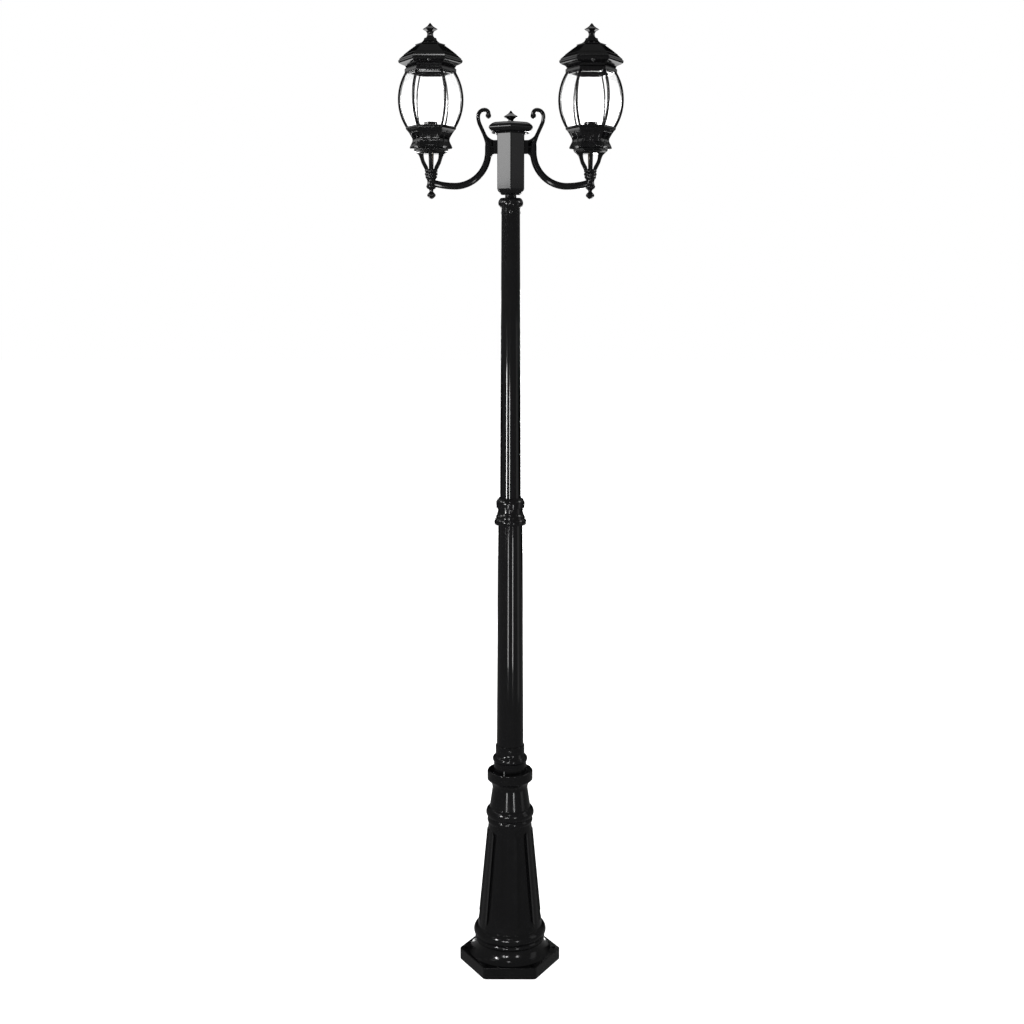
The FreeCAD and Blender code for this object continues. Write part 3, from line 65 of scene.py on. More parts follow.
# Six-sided pieces: their sides, the turn in degrees that puts corners on an axis, the angle that a face takes up as
# seen from the middle, and the distance to a face for each millimetre to a corner
HEX = 6
CORNERS_ON_X = 30
CORNERS_ON_Y = 0
SECTOR = radians(60)
FLAT = cos(SECTOR / 2)

# Turns about the axis, in degrees from +X
FACE_TURNS = {
    30: "back_right", 90: "back", 150: "back_left", 210: "front_left", 270: "front", 330: "front_right"}
CORNER_TURNS = range(0, 360, 60)
QUARTER_TURNS = range(0, 360, 90)
SCREW_TURNS = (270, 30, 150)

# Material slots of the record, each with the finish that it gets
COATING = "black_coated_aluminium"
SLOT_FINISHES = {
    COATING: "black coat on casting", "black_painted_steel": "black painted screw",
    "zinc_plated_steel": "zinc plated steel", "brass": "turned brass", "black_phenolic": "black phenolic",
    "white_nylon": "moulded nylon", "black_sheathing": "PVC sheath", "clear_glass": "clear pressed glass"}
FINISHES = {}


def centre_across(node):
    """Middle of a solid from left to right, in metres."""
    low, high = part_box(node)
    return (low.x + high.x) / 2


def foot_of(node):
    """Lowest level of a solid, in millimetres."""
    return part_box(node)[0].z / MM


def top_of(node):
    """Highest level of a solid, in millimetres."""
    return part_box(node)[1].z / MM


def hex_radius(across_flats):
    return across_flats / 2 / FLAT


# Selecting and shaping

def mode(name):
    bpy.ops.object.mode_set(mode=name)


def deselect():
    if bpy.context.mode != "OBJECT":
        mode("OBJECT")
    bpy.ops.object.select_all(action="DESELECT")


def choose(piece):
    deselect()
    piece.select_set(True)
    bpy.context.view_layer.objects.active = piece


def edit(piece, kind="FACE", action="DESELECT"):
    """Enter edit mode with nothing or everything selected."""
    choose(piece)
    mode("EDIT")
    bpy.ops.mesh.select_mode(type=kind)
    bpy.ops.mesh.select_all(action=action)


def pick(piece, kind, test):
    """Enter edit mode with the faces, edges or points selected that pass a test."""
    edit(piece, kind)
    mode("OBJECT")
    mesh = piece.data
    for item in {"FACE": mesh.polygons, "EDGE": mesh.edges, "VERT": mesh.vertices}[kind]:
        item.select = test(item)
    mode("EDIT")


def looks_out(face):
    """Whether a face looks away from the axis."""
    return face.normal.x * face.center.x + face.normal.y * face.center.y > 0


def run_of(piece, edge):
    """Vector from one end of an edge to the other."""
    first, last = (piece.data.vertices[index].co for index in edge.vertices)
    return last - first


def apply_place(piece, **settings):
    """Set a piece's name or parts of its place, and apply its place to its mesh."""
    for key, value in settings.items():
        setattr(piece, key, value)
    choose(piece)
    bpy.ops.object.transform_apply(location=True, rotation=True, scale=True)
    return piece


def apply_modifier(piece, kind, **settings):
    choose(piece)
    modifier = piece.modifiers.new(kind, kind)
    for key, value in settings.items():
        setattr(modifier, key, value)
    bpy.ops.object.modifier_apply(modifier=modifier.name)
    return piece


def face_outwards(piece):
    edit(piece, action="SELECT")
    bpy.ops.mesh.remove_doubles(threshold=1e-6)
    bpy.ops.mesh.normals_make_consistent(inside=False)
    mode("OBJECT")
    return piece


def close_ends(piece, ring=False):
    """Bridge the two open ends of an extruded ring, or fill each of them."""
    edit(piece, "EDGE")
    bpy.ops.mesh.select_non_manifold()
    if ring:
        bpy.ops.mesh.bridge_edge_loops()
    else:
        bpy.ops.mesh.fill_holes(sides=0)
    return face_outwards(piece)


def extrude(step):
    """Extrude what is selected by a step in metres."""
    bpy.ops.mesh.extrude_region_move(TRANSFORM_OT_translate={"value": step})


def bow(start, end, bulge, steps=8):
    """Points after start on an arc to end that bulges to the right of the way; millimetres."""
    across = end[0] - start[0]
    rise = end[1] - start[1]
    chord = hypot(across, rise)
    radius = (chord ** 2 / 4 + bulge ** 2) / (2 * bulge)
    half = asin(max(-1.0, min(1.0, chord / 2 / radius)))
    points = []
    for step in range(1, steps + 1):
        angle = -half + 2 * half * step / steps
        along = chord / 2 + radius * sin(angle)
        aside = radius * cos(angle) - radius + bulge
        points.append((start[0] + (across * along + rise * aside) / chord,
                       start[1] + (rise * along - across * aside) / chord))
    return points


def with_bows(points):
    """A profile with its arcs filled in: a point with a bulge, or a bulge and steps, ends a bow from the one before."""
    profile = []
    for index, (across, level, *arc) in enumerate(points):
        profile += bow(points[index - 1][:2], (across, level), *arc) if arc else [(across, level)]
    return profile


def tiered(tiers, sides=ROUND, turn=CORNERS_ON_Y, columns=1, ring=True, base=0):
    """Extrude a ring through tiers, and bridge or fill its ends.

    A tier is (radius, level above the base), with a bulge and steps if a bow leads to it; millimetres.
    """
    tiers = with_bows([(radius, base + level, *arc) for radius, level, *arc in tiers])
    deselect()
    radius, level = tiers[0]
    bpy.ops.mesh.primitive_circle_add(
        vertices=sides, radius=radius * MM, location=(0, 0, level * MM), rotation=(0, 0, radians(turn)))
    piece = apply_place(bpy.context.object)
    edit(piece, "EDGE", "SELECT")
    if columns > 1:
        bpy.ops.mesh.subdivide(number_cuts=columns - 1)
    for (radius, level), (next_radius, next_level) in zip(tiers, tiers[1:]):
        extrude((0, 0, (next_level - level) * MM))
        growth = next_radius / radius
        bpy.ops.transform.resize(value=(growth, growth, 1), center_override=(0, 0, next_level * MM))
    return close_ends(piece, ring)


def rod(radius, low, high, sides):
    """Round bar along Z with closed ends; millimetres."""
    return tiered([(radius, low), (radius, high)], sides, ring=False)


def soften(piece, width, segments=2, angle=25):
    """Round every edge sharper than an angle, by a width in millimetres."""
    return apply_modifier(piece, "BEVEL", width=width * MM, segments=segments, limit_method="ANGLE",
                          angle_limit=radians(angle))


def shade(piece, angle=32):
    """Shade smooth, apart from edges sharper than an angle, with flat faces left flat."""
    choose(piece)
    bpy.ops.object.shade_smooth_by_angle(angle=radians(angle))
    return apply_modifier(piece, "WEIGHTED_NORMAL", keep_sharp=True)


def carve(piece, tool, operation="DIFFERENCE"):
    """Cut a tool out of a piece, or join it to the piece, and delete the tool."""
    apply_modifier(piece, "BOOLEAN", operation=operation, solver="EXACT", object=tool)
    bpy.data.objects.remove(tool)
    return piece


def placed_copy(piece, turn=0, across=0):
    """Copy of a piece, turned about Z by degrees and moved along X by metres."""
    choose(piece)
    bpy.ops.object.duplicate(linked=False)
    return apply_place(bpy.context.object, rotation_euler=(0, 0, radians(turn)), location=(across, 0, 0))


def join(pieces):
    deselect()
    for piece in pieces:
        piece.select_set(True)
    bpy.context.view_layer.objects.active = pieces[0]
    bpy.ops.object.join()
    return pieces[0]


def round_about(piece, turns):
    """Copies of a piece turned about Z by each number of degrees, joined; the piece itself is used up."""
    copies = [placed_copy(piece, turn) for turn in turns]
    bpy.data.objects.remove(piece)
    return join(copies)


def at_screws(make, reach, level):
    """Three pieces made along Z, laid level where the screws are, reach millimetres from the axis, and joined."""
    pieces = []
    for turn in map(radians, SCREW_TURNS):
        spot = Vector((cos(turn), sin(turn), 0)) * (reach * MM)
        spot.z = level * MM
        pieces.append(apply_place(make(), rotation_euler=(0, radians(90), turn), location=spot))
    return join(pieces)


def dress(piece, finish):
    piece.data.materials.clear()
    piece.data.materials.append(FINISHES[finish])


def hand_over(piece, name, body, node, slot=COATING, finish=None):
    """Name and finish a piece, let it ride on its body and stand for its solid."""
    piece.name = name
    piece.data.name = name
    dress(piece, finish or SLOT_FINISHES[slot])
    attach(piece, body)
    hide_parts(node)


def hand_over_pair(piece, name, node, slot=COATING, body="lantern"):
    """A lantern piece made on the axis, copied out to both lanterns."""
    for side in ("left", "right"):
        twin = placed_copy(piece, across=centre_across(side + "_basket"))
        hand_over(twin, f"{side}_{name}", f"{side}_{body}", f"{side}_{node}", slot)
    bpy.data.objects.remove(piece)


# Finishes

def linear(hex_value):
    """sRGB hex to linear colour with alpha."""
    channels = [int(hex_value[index:index + 2], 16) / 255 for index in (1, 3, 5)]
    return tuple(value / 12.92 if value <= 0.04045 else ((value + 0.055) / 1.055) ** 2.4 for value in channels) + (1.0,)


def lighter(colour, times):
    return tuple(min(1.0, value * times) for value in colour[:3]) + (1.0,)


def add_node(tree, kind, inputs=(), links=(), **settings):
    """Add a node, set its settings and inputs, and link other nodes' outputs to its inputs."""
    node = tree.nodes.new(kind)
    for key, value in settings.items():
        setattr(node, key, value)
    for key, value in dict(inputs).items():
        node.inputs[key].default_value = value
    for key, (source, output) in dict(links).items():
        tree.links.new(source.outputs[output], node.inputs[key])
    return node


def new_finish(name):
    finish = bpy.data.materials.new(name)
    finish.use_nodes = True
    finish.node_tree.nodes.clear()
    FINISHES[name] = finish
    return finish.node_tree


def coated_surface(name, dark, light, rough_range, grain_mm, relief_mm, shader):
    """Surface with slow changes of tone and gloss over a fine even grain."""
    drift_mm = 60
    tree = new_finish(name)
    place = add_node(tree, "ShaderNodeTexCoord")
    drift = add_node(tree, "ShaderNodeTexNoise", inputs={"Scale": 1 / (drift_mm * MM), "Detail": 3.0},
                     links={"Vector": (place, "Object")})
    tone = add_node(tree, "ShaderNodeMix", data_type="RGBA", inputs={6: dark, 7: light}, links={0: (drift, 0)})
    gloss = add_node(
        tree, "ShaderNodeMapRange", links={"Value": (drift, 0)},
        inputs={"From Min": 0.3, "From Max": 0.7, "To Min": rough_range[0], "To Max": rough_range[1]})
    grain = add_node(tree, "ShaderNodeTexNoise", inputs={"Scale": 1 / (grain_mm * MM), "Detail": 2.0},
                     links={"Vector": (place, "Object")})
    relief = add_node(tree, "ShaderNodeBump", inputs={"Strength": 1.0, "Distance": relief_mm * MM},
                      links={"Height": (grain, 0)})
    surface = add_node(tree, "ShaderNodeBsdfPrincipled", inputs=shader,
                       links={"Base Color": (tone, 2), "Roughness": (gloss, 0), "Normal": (relief, 0)})
    add_node(tree, "ShaderNodeOutputMaterial", links={"Surface": (surface, 0)})


def seen_or_reflected(tree, seen, reflected, coordinates, dark_from, pale_to):
    """One strength for what is seen straight, a little more through glass, and another for what the post reflects.

    The far side of the room is dark in the post's coat, so that its edges stand out.
    """
    through_glass = 1.4
    path = add_node(tree, "ShaderNodeLightPath")
    direct = add_node(tree, "ShaderNodeMath", operation="MULTIPLY_ADD", inputs={1: through_glass},
                      links={0: (path, "Is Transmission Ray"), 2: (path, "Is Camera Ray")})
    unreflected = add_node(tree, "ShaderNodeMath", operation="LESS_THAN", inputs={1: 0.5},
                           links={0: (path, "Glossy Depth")})
    straight = add_node(tree, "ShaderNodeMath", operation="MULTIPLY", links={0: (direct, 0), 1: (unreflected, 0)})
    room = add_node(tree, "ShaderNodeTexCoord")
    depth = add_node(tree, "ShaderNodeSeparateXYZ", links={0: (room, coordinates)})
    near = add_node(tree, "ShaderNodeMapRange", links={"Value": (depth, 1)},
                    inputs={"From Min": dark_from, "From Max": pale_to, "To Max": reflected})
    return add_node(tree, "ShaderNodeMath", operation="MULTIPLY_ADD", inputs={1: seen},
                    links={0: (straight, 0), 2: (near, 0)})


def make_finishes(colours, stage):
    coating, brass = tuple(colours.coating), tuple(colours.brass)
    worn = lighter(coating, 1.7)
    # Name, two tones, range of roughness, width and depth of the grain in millimetres, and settings of the shader
    surfaces = (
        # Black powder coat on drawn tube: a deep wet gloss with a faint orange peel, 2 mm in life, drawn at 7 mm
        ("black coat on tube", coating, worn, (0.06, 0.1), 7.0, 0.01, {"IOR": 1.5, "Specular IOR Level": 0.45}),
        # The same coat on sand-cast aluminium: the mould's skin shows as a soft grain, 1 mm in life, drawn at 4 mm
        ("black coat on casting", coating, worn, (0.09, 0.17), 4.0, 0.02, {"IOR": 1.5, "Specular IOR Level": 0.4}),
        # Painted steel screws: lacquered, and so glossier than the castings round them
        ("black painted screw", coating, worn, (0.12, 0.18), 1.5, 0.005,
         {"IOR": 1.5, "Specular IOR Level": 1.0, "Coat Weight": 1.0, "Coat Roughness": 0.08}),
        # Turned brass: warm metal with fine tool marks
        ("turned brass", brass, lighter(brass, 1.15), (0.24, 0.36), 0.8, 0.004, {"Metallic": 1.0}),
        # Zinc-plated steel: cool grey metal, slightly cloudy
        ("zinc plated steel", linear("#8d9094"), linear("#a7aaad"), (0.3, 0.45), 1.2, 0.004, {"Metallic": 1.0}),
        # Moulded phenolic resin: deep black with a polished skin
        ("black phenolic", tuple(colours.phenolic), linear("#191816"), (0.08, 0.14), 5.0, 0.006, {"IOR": 1.6}),
        # Moulded nylon: matt and slightly yellow white
        ("moulded nylon", linear("#dcdad2"), linear("#e8e6df"), (0.45, 0.55), 0.7, 0.006, {"IOR": 1.53}),
        # Extruded PVC sheath: dull black with fine die lines
        ("PVC sheath", linear("#151515"), linear("#1e1e1e"), (0.5, 0.6), 0.9, 0.008, {"IOR": 1.53}))
    for surface in surfaces:
        coated_surface(*surface)

    # Clear pressed glass: almost no colour, with slow waves left by the mould
    wave_mm, wave_depth_mm = 35, 0.15
    tree = new_finish("clear pressed glass")
    place = add_node(tree, "ShaderNodeTexCoord")
    wave = add_node(tree, "ShaderNodeTexNoise", inputs={"Scale": 1 / (wave_mm * MM), "Detail": 1.0},
                    links={"Vector": (place, "Object")})
    relief = add_node(tree, "ShaderNodeBump", inputs={"Strength": 0.2, "Distance": wave_depth_mm * MM},
                      links={"Height": (wave, 0)})
    surface = add_node(
        tree, "ShaderNodeBsdfPrincipled", links={"Normal": (relief, 0)},
        inputs={"Base Color": tuple(colours.glass), "Roughness": 0.0, "IOR": 1.45, "Transmission Weight": 1.0})
    add_node(tree, "ShaderNodeOutputMaterial", links={"Surface": (surface, 0)})

    # Translucent white floor, lit from below as brightly as the backdrop, so that the two run into one
    tree = new_finish("white studio floor")
    glow = seen_or_reflected(tree, stage.backdrop_glow, stage.room_light, "Object", dark_from=3.5, pale_to=2.5)
    lit = add_node(
        tree, "ShaderNodeBsdfPrincipled", links={"Emission Strength": (glow, 0)},
        inputs={"Base Color": tuple(colours.floor), "Roughness": 0.9, "Emission Color": linear("#ffffff")})
    mirrored = add_node(tree, "ShaderNodeEmission", links={"Strength": (glow, 0)})
    path = add_node(tree, "ShaderNodeLightPath")
    surface = add_node(tree, "ShaderNodeMixShader", links={0: (path, "Is Glossy Ray"), 1: (lit, 0), 2: (mirrored, 0)})
    add_node(tree, "ShaderNodeOutputMaterial", links={"Surface": (surface, 0)})


# Settings that a user would change

def number(name, description, default, **kind):
    return FloatProperty(name=name, description=description, default=default, **kind)


def length(name, description, default_mm):
    return number(name, description, default_mm * MM, unit="LENGTH", precision=4)


def angle(name, description, default_degrees):
    return number(name, description, radians(default_degrees), subtype="ANGLE")


def colour(name, description, default):
    return FloatVectorProperty(name=name, description=description, default=linear(default), size=4, min=0, max=1,
                               subtype="COLOR")


class LampPostFoot(PropertyGroup):
    plate_radius: length("Plate radius", "From the axis to a corner of the foot plate", 128.5)
    plate_height: length("Plate height", "Height of the foot plate", 30)
    plate_rounding: length("Plate rounding", "Radius of the plate's upright corners", 9)
    panel_depth: length("Panel depth", "How far each panel of the foot is sunk", 3)
    panel_border: length("Panel border", "Width of the slope round each panel", 8)
    anchor_circle: length("Anchor circle", "Radius of the circle of anchor holes", 112)
    anchor_hole: length("Anchor hole", "Radius of an anchor hole", 5.5)


class LampPostTubes(PropertyGroup):
    lower_foot: length("Lower tube foot", "Outer radius of the lower tube at its foot", 34.1)
    lower_tip: length("Lower tube tip", "Outer radius of the lower tube at its top", 29.6)
    upper_foot: length("Upper tube foot", "Outer radius of the upper tube at its foot", 25.5)
    upper_tip: length("Upper tube tip", "Outer radius of the upper tube at its top", 22)
    wall: length("Tube wall", "Thickness of both tubes", 2.8)
    screw_head: length("Screw head", "Radius of the domed heads at the collars", 4.6)


class LampPostHead(PropertyGroup):
    hub_across_flats: length("Hub", "Width of the hub across its flats", 63)
    cap_across_flats: length("Cap", "Width of the cap across its flats", 102)
    arm_thickness: length("Arm thickness", "Height of an arm's section", 15.5)
    arm_depth: length("Arm depth", "Width of an arm's section from front to back", 14)
    pad_width: length("Pad width", "Width of the arms' pads on the hub", 11)
    pad_height: length("Pad height", "Height of the arms' pads on the hub", 31)


class LampPostLantern(PropertyGroup):
    rib_width: length("Rib width", "Width of a cage rib", 3.8)
    rib_thickness: length("Rib thickness", "Depth of a cage rib", 5)
    pane_thickness: length("Pane thickness", "Thickness of the glass", 3)
    flute_depth: length("Flute depth", "Depth of the flutes on the crown", 1.6)


class LampPostColours(PropertyGroup):
    coating: colour("Coating", "Black coat of the castings and tubes", "#0b0b0c")
    brass: colour("Brass", "Screw shell and stem", "#b08d4a")
    phenolic: colour("Phenolic", "Body of the lampholders", "#100f0e")
    glass: colour("Glass", "Tint of the panes", "#ffffff")
    floor: colour("Floor", "Studio floor", "#f7f7f7")


class LampPostStage(PropertyGroup):
    camera_distance: length("Camera distance", "From the post to the camera", 3290)
    camera_height: length("Camera height", "Height of the camera", 1694)
    camera_aside: length("Camera aside", "Camera's offset to the right of the post", 4)
    camera_pitch: angle("Camera pitch", "How far the camera looks down", 9.2)
    camera_roll: angle("Camera roll", "How far the camera leans to the left", 0.08)
    lens: number("Lens", "Focal length on a 36 mm frame", 48.16, unit="CAMERA")
    key_power: number("Power", "Power that each light has a share of", 40, unit="POWER")
    backdrop_glow: number("Backdrop glow", "Brightness of the white backdrop", 1)
    room_light: number("Room light", "Strength of the dim light all round", 0.15)


class LampPostSettings(PropertyGroup):
    foot: PointerProperty(type=LampPostFoot)
    tubes: PointerProperty(type=LampPostTubes)
    head: PointerProperty(type=LampPostHead)
    lantern: PointerProperty(type=LampPostLantern)
    colours: PointerProperty(type=LampPostColours)
    stage: PointerProperty(type=LampPostStage)


# Pieces

class LAMPPOST_OT_finishes(Operator):
    """Make the finishes of the post and its stage"""
    bl_idname = "lamp_post.finishes"
    bl_label = "Finishes"

    def execute(self, context):
        make_finishes(context.scene.lamp_post.colours, context.scene.lamp_post.stage)
        return {"FINISHED"}


class LAMPPOST_OT_inner_parts(Operator):
    """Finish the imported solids, of which the stems, nuts, bolts, clips, terminal block and leads stay in view"""
    bl_idname = "lamp_post.inner_parts"
    bl_label = "Inner parts"

    def execute(self, context):
        for subpart in frame["record"]["subparts"]:
            dress(frame["nodes"][subpart["node"]], SLOT_FINISHES[subpart["material_slot"]])
        return {"FINISHED"}


class LAMPPOST_OT_foot(Operator):
    """Model the cast foot: turned shell with sunk panels on a six-sided plate"""
    bl_idname = "lamp_post.foot"
    bl_label = "Cast foot"

    def execute(self, context):
        sizes = context.scene.lamp_post.foot
        top = top_of("base_casting")
        panel_low, panel_high = 115, 356
        half_panel = radians(21.5)
        shell = tiered(
            [(104, 24), (104, 30), (86, 61, -5, 10), (86, 72, 2.4), (81.3, 100, 7.9, 12), (79.8, panel_low),
             (55.5, panel_high), (54, 371), (54, 385, 3), (51, 413, 7.5, 12), (44, 461), (56.6, 484, -3.5),
             (56.6, top - 1.5), (55.1, top), (34.4, top), (34.4, 448), (28.1, 448), (28.1, 438), (37, 438),
             (47, 371), (79, 61), (79, 3)], FINE_ROUND)

        def on_panel(face):
            off_middle = (atan2(face.center.y, face.center.x) + SECTOR / 2) % SECTOR - SECTOR / 2
            return panel_low < face.center.z / MM < panel_high and abs(off_middle) < half_panel and looks_out(face)

        pick(shell, "FACE", on_panel)
        bpy.ops.mesh.inset(thickness=sizes.panel_border, depth=0)
        bpy.ops.transform.shrink_fatten(value=-sizes.panel_depth)
        soften(shell, 0.7, angle=28)
        corner = sizes.plate_radius / MM
        plate = tiered([(corner, 0), (corner, sizes.plate_height / MM)], HEX, CORNERS_ON_X, ring=False)
        pick(plate, "EDGE", lambda edge: abs(run_of(plate, edge).z) > 0.5 * sizes.plate_height)
        bpy.ops.mesh.bevel(offset=sizes.plate_rounding * tan(SECTOR / 2), segments=5)
        soften(plate, 1.6, segments=3, angle=40)
        foot = carve(plate, shell, "UNION")
        cavity = 78.95
        carve(foot, rod(cavity, -2, 40, FINE_ROUND))
        hole = apply_place(rod(sizes.anchor_hole / MM, -2, 60, sides=24), location=(sizes.anchor_circle, 0, 0))
        carve(foot, round_about(hole, CORNER_TURNS))
        hand_over(shade(face_outwards(foot)), "cast_foot", "post", "base_casting")
        return {"FINISHED"}


class LAMPPOST_OT_tubes(Operator):
    """Model the two tapered tubes and their three collars"""
    bl_idname = "lamp_post.tubes"
    bl_label = "Tubes and collars"

    def execute(self, context):
        sizes = context.scene.lamp_post.tubes
        wall = sizes.wall / MM
        for node, foot, tip in (
                ("lower_tube", sizes.lower_foot, sizes.lower_tip), ("upper_tube", sizes.upper_foot, sizes.upper_tip)):
            low, high = foot_of(node), top_of(node)
            tube = tiered([(foot / MM, low), (tip / MM, high), (tip / MM - wall, high), (foot / MM - wall, low)],
                          sides=96)
            hand_over(shade(soften(tube, 0.4)), node.replace("_tube", "_tapered_tube"), "post", node,
                      finish="black coat on tube")
        collars = {
            "base_collar": [
                (34.02, 0), (39.6, 0), (40.4, 0.8), (40.4, 22), (38.4, 38, 3.9, 10), (36, 48, -1, 5), (36, 64),
                (35.2, 65), (34.02, 65)], "mid_collar": [
                (30.05, 0), (36.5, 0), (35.3, 16, 3.4, 10), (35.3, 21), (30.6, 33, -1, 5), (30.6, 42), (34, 42),
                (34.5, 42.5), (34.5, 49), (27.4, 66, 3), (25.8, 66), (25.8, 29), (19.5, 29), (19.5, 24), (30.05, 24)],
            "top_collar": [
                (11.05, 0), (18.9, 0), (18.9, 50), (22.4, 50), (22.4, 34), (23.6, 34), (23.6, 57, 5.9, 12),
                (11.05, 57)]}
        for node, tiers in collars.items():
            collar = tiered(tiers, base=foot_of(node))
            hand_over(shade(soften(collar, 0.35, angle=40)), "turned_" + node, "post", node)
        return {"FINISHED"}


def domed_screw(head, height, shank, reach):
    """Domed screw along Z with a round socket, its seat at level 0; millimetres."""
    screw = tiered(
        [(shank, -reach), (shank, 0), (head, 0)] + bow((head, height * 0.25), (head * 0.5, height), height * 0.22, 6)
        + [(head * 0.4, height), (head * 0.34, height * 0.5)], sides=24, ring=False)
    return shade(screw, angle=40)


class LAMPPOST_OT_set_screws(Operator):
    """Model the domed screws at the three collars"""
    bl_idname = "lamp_post.set_screws"
    bl_label = "Set screws"

    def execute(self, context):
        head = context.scene.lamp_post.tubes.screw_head / MM
        neck = top_of("base_collar") - 8.5
        waist = foot_of("mid_collar") + 37.5
        below_ring = foot_of("top_collar") + 24
        screws = [at_screws(lambda: domed_screw(head, height=2.8, shank=2.5, reach=reach), seat, level)
                  for level, seat, reach in ((neck, 36.2, 2), (waist, 30.8, 4), (below_ring, 22.4, 10))]
        hand_over(join(screws), "domed_set_screws", "post", "tube_set_screws", "black_painted_steel")
        return {"FINISHED"}


def bud(base, tiers, turn, stud, stud_low, stud_high):
    """Six-sided finial, a cupped leaf between a neck and a pointed tip, with the stud that holds it; millimetres."""
    leaf = shade(soften(tiered(tiers, HEX, turn, ring=False, base=base), 0.5, angle=20))
    return join([leaf, shade(rod(stud, stud_low, stud_high, sides=20))])


class LAMPPOST_OT_hub(Operator):
    """Model the hub column, its spigot, cap and finial"""
    bl_idname = "lamp_post.hub"
    bl_label = "Hub"

    def execute(self, context):
        sizes = context.scene.lamp_post.head
        foot, top = foot_of("hub_column"), top_of("hub_column")
        outer = hex_radius(sizes.hub_across_flats / MM)
        two_walls = 8
        inner = hex_radius(sizes.hub_across_flats / MM - two_walls)
        height = top - foot
        column = tiered([(25.4, 0), (outer, 11), (outer, height), (inner, height), (inner, 12), (10.6, 12), (10.6, 0)],
                        HEX, base=foot)
        hand_over(shade(soften(column, 1.4, segments=3)), "hub_casting", "head", "hub_column")
        low = foot_of("hub_spigot") - foot
        spigot = tiered([(6, low), (10.95, low), (10.95, -8), (13.4, -8), (13.4, 0), (9, 0), (9, 19.1), (6, 19.1)],
                        sides=48, base=foot)
        hand_over(shade(soften(spigot, 0.4)), "hub_pivot", "head", "hub_spigot")
        edge = hex_radius(sizes.cap_across_flats / MM)
        skirt, cap_height = 2.5, 25
        lip = top - skirt
        cap = tiered(
            [(hex_radius(68), 0), (hex_radius(72), skirt), (edge, 11.5, 2.6, 6), (edge, 14.5),
             (hex_radius(52), cap_height, 4.6, 9), (3.6, cap_height), (3.6, skirt), (outer + 0.4, skirt),
             (outer + 0.4, 0)], HEX, base=lip)
        hand_over(shade(soften(cap, 1.0, segments=3)), "hub_cover", "head", "hub_cap")
        summit = lip + cap_height
        finial = bud(summit, [
            (9.2, 0), (8.4, 1), (6.8, 3.4), (6.6, 6.2), (7.4, 7.4), (11, 10.2), (18, 13.1), (19, 13.8), (18.2, 14.5),
            (10.6, 18.7), (6.6, 21.5), (4.8, 23.3), (0.9, 28)], CORNERS_ON_Y,
            stud=2.95, stud_low=foot_of("hub_finial"), stud_high=summit + 4)
        hand_over(finial, "hub_bud", "head", "hub_finial")
        return {"FINISHED"}


def loop_middle(piece):
    """Middle of the selected points, in edit mode."""
    mode("OBJECT")
    chosen = [point.co.copy() for point in piece.data.vertices if point.select]
    mode("EDIT")
    return sum(chosen, Vector()) / len(chosen)


def swing(piece, centre, sweep, steps, taper=1.0, taper_deep=1.0):
    """Spin the open end of a limb about a point of the arm's plane, thinning it as it goes."""
    thin = taper ** (1 / steps)
    deep = taper_deep ** (1 / steps)
    for _ in range(steps):
        bpy.ops.mesh.spin(steps=1, angle=radians(-sweep / steps), center=(centre[0] * MM, 0, centre[1] * MM),
                          axis=(0, 1, 0))
        if taper != 1.0:
            bpy.ops.transform.resize(value=(thin, deep, thin), center_override=loop_middle(piece))


def limb_start(across, level, sizes):
    """Open loop of sixteen sides, the section of an arm, lying level; edges left selected in edit mode."""
    sides = 16
    half_side = radians(360 / sides / 2)
    deselect()
    bpy.ops.mesh.primitive_circle_add(vertices=sides, radius=0.5 / cos(half_side), rotation=(0, 0, half_side))
    limb = apply_place(bpy.context.object)
    apply_place(limb, scale=(sizes.arm_thickness, sizes.arm_depth, 1), location=(across * MM, 0, level * MM))
    edit(limb, "EDGE", "SELECT")
    return limb


def web(corners, depth):
    """Plate of a depth along Y, cut to (across, level) corners and rounded at its edges; millimetres."""
    corners = with_bows(corners)
    deselect()
    bpy.ops.mesh.primitive_circle_add(vertices=len(corners), radius=1 * MM, fill_type="NGON")
    piece = bpy.context.object
    for index, (across, level) in enumerate(corners):
        start = piece.data.vertices[index].co.copy()
        pick(piece, "VERT", lambda point: point.index == index)
        bpy.ops.transform.translate(value=Vector((across, -depth / 2, level)) * MM - start)
    bpy.ops.mesh.select_all(action="SELECT")
    extrude((0, depth * MM, 0))
    return soften(face_outwards(piece), 1.6, segments=5, angle=40)


